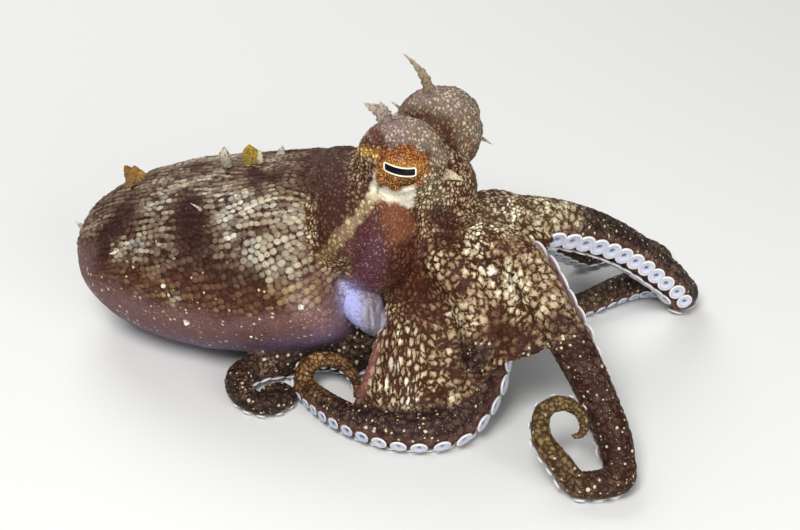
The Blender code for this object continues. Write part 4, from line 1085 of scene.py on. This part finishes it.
def eyeMaterial():
    paint = newMaterial("octopusEye", 0.3, Coat_Weight=0.03, Coat_Roughness=0.45, Specular_IOR_Level=0.1)
    gaze = paint.attribute("gaze", "Vector")
    across, up = (paint.node("ShaderNodeSeparateXYZ", {}, {0: gaze}, n) for n in (0, 1))
    look, corner = pupilLook, pupilLook["corner"]
    x = across - look["middle"][0]
    y = up - look["middle"][1] - x * look["tilt"] - x * x * look["curve"] + look["lift"]
    outX, outY = (paint.maths("ABSOLUTE", way) - half for way, half in zip((x, y), look["half"]))
    gapX, gapY = (paint.greater(gap + corner, 0.0) for gap in (outX, outY))
    within = paint.lesser(paint.greater(outX, outY) + corner, 0.0)
    outside = paint.maths("SQRT", gapX * gapX + gapY * gapY) + within - corner
    pupil = 1 - paint.rise(outside, -0.06, 0.06)
    rim = 1 - paint.rise(outside, look["rim"] - 0.08, look["rim"] + 0.08)
    level = (up + paint.noise(gaze, 0.35, 2, 0.5) * 2.0 - 1.0) * 0.09 + 0.5
    ground = paint.ramp(level, [(0.0, "#2f1510"), (0.25, "#4a2419"), (0.42, "#7a4a1e"), (0.55, "#8a5a22"),
                                (0.66, "#6f3616"), (1.0, "#5a2a16")])
    leaf = paint.ramp(level, [(0.0, "#a07840"), (0.45, "#e6bc62"), (0.6, "#dda858"), (1.0, "#cb9460")])
    colour = paint.mix(paint.rise(paint.noise(gaze, 3.0, 2, 0.75), 0.52, 0.64), ground, leaf)
    dark = paint.rise(paint.noise(gaze, 4.2, 2, 0.7), 0.55, 0.66)
    colour = paint.mix(rim, paint.mix(dark * 0.75, colour, "#2a0d08"), "#efe8d2")
    paint.lead(Base_Color=paint.mix(pupil, colour, (0.004, 0.004, 0.006)))
    return paint.material


beadShape = {
    "rows": 92, "step": 1.6, "longest": 64, "sides": 8, "top": 0.62,
    "sweep": 0.42,               # how far the rows draw in to the back towards the head
    "least": {2: 0.6, 4: 0.3},   # where the mantle is this share of its widest, every other row ends
    "profile": [(1.1, -0.34), (1.0, 0.08), (0.66, 0.42)],   # radius and height over the skin, in bead radii
    "uneven": {"step": (0.84, 1.16), "start": (1.5, 3.5), "aside": (-0.1, 0.1), "size": (0.36, 0.57),
               "tone": (0.42, 0.88), "stretch": (1.05, 1.55), "swing": (-0.3, 0.3)},
}


def onMantle(x, turn):   # the place on the egg at this angle from its back
    middle, across, up = (onMantleLine(x, table) for table in (mantleLine, mantleAcross, mantleUp))
    way = mantleShape["width"] * np.sin(turn)[:, None] * across + np.cos(turn)[:, None] * up
    return middle + mantleRadius(x)[:, None] * way


def beads():
    # rows of low beads along the whole mantle, which waver a little. Rows drop out as it narrows, and beads
    # are left out where the head, the arms or the smooth belly begin. Each sits on the skin's own lumps
    draw, uneven = np.random.default_rng(8), beadShape["uneven"]
    count, longest = beadShape["rows"], beadShape["longest"]
    row = np.repeat(np.arange(count), longest)
    steps = beadShape["step"] * draw.uniform(*uneven["step"], (count, longest))
    along = (np.cumsum(steps, axis=1) + draw.uniform(*uneven["start"], (count, 1))).ravel()
    inside = along < meridianLength[-1] - 3
    row, along = row[inside], along[inside]
    x = np.interp(along, meridianLength, meridianX)
    thin = mantleRadius(x) / mantleShape["radius"]
    every = np.where(thin > beadShape["least"][2], 1, np.where(thin > beadShape["least"][4], 2, 4))
    kept = row % every == 0
    row, along, x, every = row[kept], along[kept], x[kept], every[kept]
    waver = 0.04 * np.sin(along / 5.5 + row * 0.31) + 0.022 * np.sin(along / 2.7 + row * 0.9)
    turn = row / count * 2 * math.pi
    sweep = beadShape["sweep"] * ((along - 14) / 45).clip(0) ** 1.4
    closer = 1 - sweep * np.cos(turn)
    aside = draw.uniform(*uneven["aside"], len(x)) * every * 2 * math.pi / count
    turn = turn - sweep * np.sin(turn) + waver + aside
    centres = onMantle(x, turn)
    rowWay = unit(onMantle(x + 0.1, turn) - centres)
    axes = unit(np.cross(onMantle(x, turn + 0.01) - centres, rowWay))
    axes *= np.sign((axes * (centres - onMantleLine(x, mantleLine))).sum(1))[:, None]
    fields = fieldsAt(centres)
    tone = paintSkin(centres, axes, fields)
    free = (fields["headGap"] > 0.7) & (fields["arm"]["gap"] > 1.0)
    free &= tone["belly"] < 0.5 + draw.uniform(-0.45, 0.25, len(x))
    free &= np.linalg.norm(centres - (-13, -13, 26), axis=1) > 6.0   # clear of the funnel's root
    free &= draw.uniform(0, 1, len(x)) > 0.7 * tone["dotShare"]
    pitch = 2 * math.pi * mantleRadius(x) * 1.06 / count * every
    size = (pitch * closer * draw.uniform(*uneven["size"], len(x)))[free]
    centres, axes, rowWay, row, along = centres[free], axes[free], rowWay[free], row[free], along[free]
    net, cell = (tone[key][free, :3] for key in ("netTone", "cellTone"))
    low = tone["dotShare"][free, None]
    centres = centres + axes * (skinLumps(centres, fieldsAt(centres)) - 0.05)[:, None]
    much = draw.uniform(*uneven["tone"], (len(centres), 1)) + 0.42 * ripple(centres, 4.2, 51)[:, None]
    much = (much + 0.14 * np.sin(along / 4 + row * 2.4)[:, None] - 0.5 * low).clip(0.08, 1)
    size = size * (1 - 0.25 * low[:, 0])
    stretch = 0.5 * beadShape["step"] / size * draw.uniform(*uneven["stretch"], len(size))
    swing = draw.uniform(*uneven["swing"], (len(size), 1))
    rowWay = rowWay * np.cos(swing) + np.cross(axes, rowWay) * np.sin(swing)
    points, faces, reach = turnedProfiles(centres, axes, size, beadShape["profile"], beadShape["sides"],
                                          beadShape["top"], rowWay, stretch.clip(0.8, 2.1))
    each = len(points) // len(centres)
    obj = meshObject("beads", finishedPoints(points), faces, {
        "reach": reach, "rest": points, "tone": np.repeat(net * (1 - much) + cell * much, each, axis=0),
        "netTone": np.repeat(net, each, axis=0)})
    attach(obj, "root")
    obj.data.materials.append(beadMaterial())
    print("mantle beads:", len(centres), "with", len(faces), "triangles")


def beadMaterial():
    paint = newMaterial("octopusBeads", 0.55, Specular_IOR_Level=0.14)
    stipple = paint.noise(paint.attribute("rest", "Vector"), 1.9, 2, 0.7)
    rise = paint.rise(paint.attribute("reach") + (stipple - 0.5) * 1.3, 0.0, 0.8)
    rise = rise * (1 - paint.rise(paint.shadeOf(stipple), 0.52, 0.68) * 0.55)
    net, full = paint.attribute("netTone", "Vector"), paint.attribute("tone", "Vector")
    paint.lead(Base_Color=paint.mix(rise, paint.scaled(net, 0.8), full), Normal=paint.bump(stipple, 0.0004))
    return paint.material


suckerShape = {
    "first": 9.0, "step": 5.1, "least": 0.45,   # mm: the first along the arm, and the step at the arm's root
    "lean": 30, "share": 0.46, "sunk": 0.93,    # degrees to the side, and radius and depth in arm radii
    "large": 1.75,                              # mm: a cup wider than this gets more sides
    # radius and height over the skin, in cup radii, from the stalk over the rim and down into the cup
    "profile": [(0.60, -0.42), (0.60, 0.06), (0.84, 0.24), (1.06, 0.33), (1.08, 0.45), (0.94, 0.52),
                (0.72, 0.47), (0.46, 0.42), (0.24, 0.34), (0.15, 0.12)],
    "small": [0, 1, 3, 4, 6, 9],
}


def suckerPlaces():
    # two staggered rows along each arm, closer together as the arm thins: centre, axis, cup radius
    centres, axes, sizes = [], [], []
    lean, least = math.radians(suckerShape["lean"]), suckerShape["least"]
    for arm in arms.values():
        step = suckerShape["step"] * (least + (1 - least) * arm["radius"] / armShape["root"])
        count = np.concatenate([[0], np.cumsum(np.diff(arm["along"]) / step[1:])])
        first = np.interp(suckerShape["first"], arm["along"], count)
        s = np.interp(np.arange(first, count[-1] - 0.3, 0.5), count, arm["along"])
        side = np.where(np.arange(len(s)) % 2, 1, -1)[:, None]
        axis = readArm(arm, s, "oral") * math.cos(lean) + readArm(arm, s, "side") * side * math.sin(lean)
        radius = readArm(arm, s, "radius")
        axes.append(unit(axis))
        centres.append(readArm(arm, s, "path") + axes[-1] * radius[:, None] * suckerShape["sunk"])
        sizes.append(radius * suckerShape["share"] * (0.6 + 0.4 * ease(9, 26, s)))
    return np.vstack(centres), np.vstack(axes), np.concatenate(sizes)


def turnedProfiles(centres, axes, sizes, profile, sides, top=None, along=None, stretch=1.0):
    # a closed cup or bead for each place: its profile, as radius and height, turned round its axis and
    # stretched one way
    profile = np.array(profile)
    across = unit(np.cross(axes, (0.31, 0.2, 0.93))) if along is None else along
    up = np.cross(axes, across)
    across = across * np.reshape(stretch, (-1, 1))
    turn = circle(sides)
    ring = np.cos(turn)[:, None] * across[:, None] + np.sin(turn)[:, None] * up[:, None]
    radius, height = (profile[None, :, None, None, k] for k in (0, 1))
    rings = ring[:, None] * radius + axes[:, None, None] * height
    points = centres[:, None, None] + rings * sizes[:, None, None, None]
    count, rows = len(centres), len(profile)
    heights = np.array([profile[0, 1], profile[-1, 1] if top is None else top])
    ends = centres[:, None] + axes[:, None] * (heights * sizes[:, None])[..., None]
    points = np.concatenate([points.reshape(count, -1, 3), ends], axis=1)
    _, faces = capped(points[0, :-2].reshape(rows, sides, 3), *points[0, -2:])
    faces = faces[None] + (np.arange(count) * points.shape[1])[:, None, None]
    reach = np.concatenate([np.repeat(np.arange(rows) / (rows - 1), sides), [0, 1]])
    return points.reshape(-1, 3), faces.reshape(-1, 3), np.tile(reach, count)


def suckers():
    centres, axes, sizes = suckerPlaces()
    material, full, large = suckerMaterial(), suckerShape["profile"], sizes > suckerShape["large"]
    simple = [full[k] for k in suckerShape["small"]]
    kinds = {"suckersLarge": (large, full, 18), "suckersSmall": (~large, simple, 9)}
    for name, (wanted, profile, sides) in kinds.items():
        points, faces, reach = turnedProfiles(centres[wanted], axes[wanted], sizes[wanted], profile, sides)
        points[:, 2] = points[:, 2].clip(0.03)
        obj = meshObject(name, finishedPoints(points), faces, {"reach": reach, "rest": points})
        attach(obj, "root")
        obj.data.materials.append(material)
        print(name, wanted.sum(), "cups,", len(faces), "triangles")


def suckerMaterial():
    paint = newMaterial("octopusSucker", 0.32, Specular_IOR_Level=0.5)
    fleck = paint.noise(paint.attribute("rest", "Vector"), 2.2, 2, 0.6)
    colour = paint.ramp(paint.attribute("reach") + fleck * 0.08 - 0.04, [
        (0.0, "#3d2230"), (0.2, "#7a5f63"), (0.34, "#c9c8c8"), (0.52, "#e6e6e0"), (0.62, "#b4b6c4"),
        (0.76, "#c6cadb"), (0.88, "#a9adc0"), (0.97, "#5f6070")])
    paint.lead(Base_Color=paint.mix(paint.rise(fleck, 0.5, 0.75) * 0.35, colour, "#8b6a6c"))
    return paint.material


funnelShape = {
    "line": [(-11, -7, 24), (-7.2, -12.3, 20.8), (-3.8, -14.8, 18.0)], "sides": 40,
    "radius": ([0, 0.5, 0.96, 1], [6.1, 4.5, 2.65, 2.3]),   # at these shares of its length
    "mouth": 2.05, "hollow": [(-1, 1.0), (-4, 0.9), (-8, 0.7)],   # rings back down the line, and their shares
    "uneven": 0.12,
}


def funnel():
    # a cone carried along its curve, with a rim that turns in to a hollow mouth
    shape, count = funnelShape, funnelShape["sides"]
    line = smoothCurve(shape["line"], count)
    tangent = unit(np.gradient(line, axis=0))
    across = unit(np.cross(tangent, (0, 0, 1)))
    up = np.cross(across, tangent)
    radius = np.interp(np.linspace(0, 1, count), *shape["radius"])
    turn = circle(count)[None, :, None]
    ring = np.cos(turn) * across[:, None] + np.sin(turn) * up[:, None]
    inner = [line[k] + shape["mouth"] * share * ring[k] for k, share in shape["hollow"]]
    rings = np.concatenate([line[:, None] + radius[:, None, None] * ring, np.array(inner)])
    uneven = ripple(rings.reshape(-1, 3), 2.4, 41).reshape(*rings.shape[:2], 1)
    rings = rings + unit(rings - rings.mean(1, keepdims=True)) * shape["uneven"] * uneven
    points, faces = capped(rings)
    obj = meshObject("funnel", finishedPoints(points), faces, {"rest": points})
    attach(obj, "root")
    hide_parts("funnel")
    obj.data.materials.append(funnelMaterial())


def funnelMaterial():
    paint = newMaterial("octopusFunnel", 0.36)
    rest = paint.attribute("rest", "Vector")
    x, z = (paint.node("ShaderNodeSeparateXYZ", {}, {0: rest}, n) for n in (0, 2))
    fleck = paint.noise(rest, 1.8, 3, 0.65)
    streak = paint.noise(paint.vector("MULTIPLY", rest, (1.1, 0.25, 0.2)), 0.9, 2, 0.6)
    colour = paint.mix(paint.rise(streak, 0.4, 0.6), "#655f6b", "#968f9a")
    colour = paint.mix(paint.rise(z + fleck * 5, 20.0, 16.5), colour, "#8f95c4")
    colour = paint.mix(paint.rise(x + fleck * 4, -5.5, -9.5), colour, "#aeb2e6")
    colour = paint.mix(paint.rise(z + x * 0.5 + fleck * 11, 25.5, 31.5), colour, "#57353f")
    colour = paint.mix(paint.rise(fleck, 0.55, 0.7) * 0.5, colour, "#6a4c54")
    paint.lead(Base_Color=colour, Normal=paint.bump(fleck, 0.0006))
    return paint.material


foldShapes = [   # root, tip, half width, half thickness, raggedness, bluntness, root tone, tip tone
    ((-3.2, 4.4, 64.0), (-6.0, 6.0, 68.7), 2.0, 0.5, 0.35, 4.0, "#857270", "#a79c8c"),   # near eye
    ((-4.6, 5.0, 66.0), (-8.6, 6.3, 69.2), 1.3, 0.4, 0.5, 2.5, "#958878", "#b5a994"),
    ((-3.4, 5.2, 66.0), (-4.4, 6.4, 69.4), 1.2, 0.4, 0.45, 2.5, "#857270", "#b0a591"),
    ((-0.6, 5.0, 65.0), (-0.9, 5.2, 67.0), 1.5, 0.6, 0.5, 2.5, "#857270", "#a89d8d"),
    ((2.2, 4.8, 64.6), (2.0, 4.8, 66.2), 1.3, 0.6, 0.5, 2.5, "#857270", "#a89d8d"),
    ((8.6, 21.0, 61.5), (5.6, 22.3, 67.8), 2.6, 1.0, 0.25, 2.0, "#6d5949", "#8d7c66"),   # far eye
    ((7.6, 21.6, 64.4), (3.2, 22.8, 71.8), 1.5, 0.7, 0.4, 2.0, "#7b6a55", "#a3947b"),
    ((5.0, 22.3, 68.5), (0.6, 23.2, 74.6), 0.85, 0.45, 0.5, 1.6, "#8d7c66", "#b3a48a"),
    ((-0.6, 18.5, 62.0), (-2.2, 18.8, 63.8), 0.35, 0.3, 0.3, 1.4, "#8a7a66", "#d9cfba"),
    ((9.6, -1.2, 54.2), (14.8, -0.6, 51.2), 1.7, 0.9, 0.15, 1.5, "#a08c76", "#e6d8b2"),   # beside the eyes
    ((19.6, 22.3, 51.6), (23.4, 22.4, 49.6), 0.6, 0.45, 0.2, 1.3, "#9a8c74", "#d9d2bf"),
    ((-66.6, 20.3, 38.2), (-67.3, 20.4, 45.0), 2.0, 1.2, 0.2, 6.0, "#8a6f55", "#94662a"),   # tail tuft
    ((-66.6, 20.3, 38.2), (-69.8, 21.2, 44.4), 1.6, 1.0, 0.25, 6.0, "#8a6f55", "#8a5c24"),
    ((-66.6, 20.3, 38.2), (-64.9, 19.6, 44.4), 1.5, 1.0, 0.25, 6.0, "#9a8468", "#a4783a"),
    ((-36.6, 11.4, 49.6), (-36.4, 11.5, 55.4), 2.6, 1.0, 0.1, 3.5, "#8a7a44", "#a38626"),   # back flap
    ((-34.4, 11.0, 49.6), (-33.6, 11.0, 54.4), 0.9, 1.1, 0.2, 3.0, "#b5ab88", "#ddd6b8"),
    ((-42.6, 12.0, 50.2), (-42.8, 12.0, 54.6), 1.5, 1.3, 0.15, 3.0, "#94887a", "#cfc6ae"),
    ((-29.0, 12.0, 50.6), (-29.0, 12.0, 54.9), 1.3, 1.1, 0.15, 2.5, "#94887a", "#c6bda6"),
    ((-80.2, 26, 22.0), (-84.8, 27.5, 24.8), 1.3, 0.9, 0.3, 1.6, "#9a8a72", "#e0d9c8"),
    ((-39.0, -1.4, 46.8), (-39.8, -3.2, 49.2), 0.75, 0.6, 0.2, 1.8, "#b9b094", "#f0ecdc"),
    ((-48.3, -0.9, 43.2), (-50.2, -2.4, 46.8), 0.45, 0.4, 0.2, 1.5, "#b9a888", "#efeadb"),
    ((-69.0, 2.0, 30.6), (-71.4, 0.2, 31.4), 0.6, 0.5, 0.2, 1.8, "#b9b094", "#efeadb"),   # low down
    ((-52.1, -9.4, 18.1), (-52.4, -11.1, 17.4), 1.0, 0.9, 0.1, 3.0, "#a89a86", "#f6f3e6"),
    ((-47.0, -10.4, 21.5), (-47.2, -11.7, 21.0), 0.7, 0.7, 0.1, 3.0, "#a89a86", "#efeadb"),
    ((-57.2, -7.8, 27.0), (-57.6, -9.0, 26.7), 0.8, 0.7, 0.1, 3.0, "#a89a86", "#efeadb"),
    ((-23.3, -18.8, 27.6), (-23.5, -20.4, 27.6), 1.0, 0.9, 0.1, 3.0, "#a89a86", "#f6f3e6"),
    ((-36.0, -13.0, 16.4), (-36.2, -14.3, 15.8), 0.7, 0.6, 0.1, 3.0, "#a89a86", "#f6f3e6"),
    ((-44.8, -10.1, 14.9), (-45.0, -11.4, 14.4), 0.6, 0.6, 0.1, 3.0, "#a89a86", "#efeadb"),
]


def folds():
    # each a flattened cone carried along a bent line, its width scalloped by two sine waves
    parts, shades = [], []
    t = np.linspace(0, 1, 22)
    turn = circle(18)
    share = t * 1.2 - 0.2   # it begins a little under the skin
    mix = np.concatenate([np.repeat(share.clip(0, 1), len(turn)), [0, 1]])[:, None]
    for number, (root, tip, wide, thick, ragged, blunt, rootTone, tipTone) in enumerate(foldShapes):
        root, tip = np.array(root, float), np.array(tip, float)
        way = tip - root
        across = unit(np.cross(way, (0.1, -0.9, 0.45)))
        out = unit(np.cross(way, across))
        bend = 0.10 * np.linalg.norm(way) * np.sin(2.6 * share + number)
        line = root + share[:, None] * way + bend[:, None] * across
        waves = 0.35 * np.sin(9 * t * math.pi + number * 2.1) + 0.2 * np.sin(17 * t * math.pi + number)
        width = (1 - share.clip(0) ** blunt).clip(0.03) * (1 + ragged * waves)
        side = np.cos(turn)[None, :, None] * across * wide + np.sin(turn)[None, :, None] * out * thick
        parts.append(capped(line[:, None] + width[:, None, None] * side, None, line[-1] + way * 0.01))
        shades.append(np.array(tint(rootTone)) * (1 - mix) + np.array(tint(tipTone)) * mix)
    points, faces = joined(parts)
    obj = meshObject("folds", finishedPoints(points), faces, {"tone": np.vstack(shades), "rest": points})
    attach(obj, "root")
    obj.data.materials.append(foldMaterial())
    print("folds finished with", len(faces), "triangles")


def foldMaterial():
    paint = newMaterial("octopusFolds", 0.6, Specular_IOR_Level=0.14)
    fleck = paint.noise(paint.attribute("rest", "Vector"), 1.7, 3, 0.7)
    tone = paint.scaled(paint.attribute("tone", "Vector"), 1.1)
    colour = paint.mix(paint.rise(fleck, 0.48, 0.62) * 0.7, tone, "#4a2f22")
    paint.lead(Base_Color=colour, Normal=paint.bump(fleck, 0.0007))
    return paint.material


cameraLook = {"lens": 85, "rise": 30, "away": 0.465, "height": 0.028}


def placeCamera():
    camera = linked("camera", bpy.data.cameras.new("camera"))
    camera.data.lens = cameraLook["lens"]
    camera.data.clip_start = 0.01
    lift, away = math.radians(cameraLook["rise"]), cameraLook["away"]
    x, y = rowShift[:2] * 0.001
    camera.location = (x, y - math.cos(lift) * away, cameraLook["height"] + math.sin(lift) * away)
    camera.rotation_euler = (math.pi / 2 - lift, 0, 0)
    bpy.context.scene.camera = camera


lightLook = {   # place over the middle in metres, side in metres, watts
    "key": {"place": (-0.18, -0.55, 0.75), "side": 0.35, "power": 7.4},
    "fill": {"place": (0.35, -0.6, 0.26), "side": 0.5, "power": 3.0},
    "back": {"place": (-0.25, 0.6, 0.6), "side": 0.5, "power": 3.6},
}
roomLook = {"air": (0.9, 0.92, 0.95, 1), "strength": 0.24, "floor": (0.72, 0.72, 0.7, 1), "half": 3}


def placeLights():
    for name, facts in lightLook.items():
        light = bpy.data.lights.new(name, "AREA")
        light.energy = facts["power"]
        light.size = facts["side"]
        obj = linked(name, light)
        obj.location = facts["place"]
        x, y, z = np.array([0, 0, 0.02]) - np.array(facts["place"])   # it looks a little over the floor
        obj.rotation_euler = (math.atan2(math.hypot(x, y), -z), 0, math.atan2(y, x) - math.pi / 2)
    world = bpy.data.worlds.new("studio")
    world.use_nodes = True
    air = world.node_tree.nodes["Background"].inputs
    air[0].default_value = roomLook["air"]
    air[1].default_value = roomLook["strength"]
    bpy.context.scene.world = world


def floorSheet():
    corners = np.array([(-1, -1, 0), (1, -1, 0), (1, 1, 0), (-1, 1, 0)], float) * roomLook["half"]
    obj = meshObject("floor", corners, np.array([[0, 1, 2, 3]]))
    obj.data.materials.append(newMaterial("paleFloor", 0.8, Base_Color=roomLook["floor"]).material)


skin()
eyes()
beads()
suckers()
funnel()
folds()
placeCamera()
placeLights()
floorSheet()
bpy.context.scene.view_settings.view_transform = "Standard"
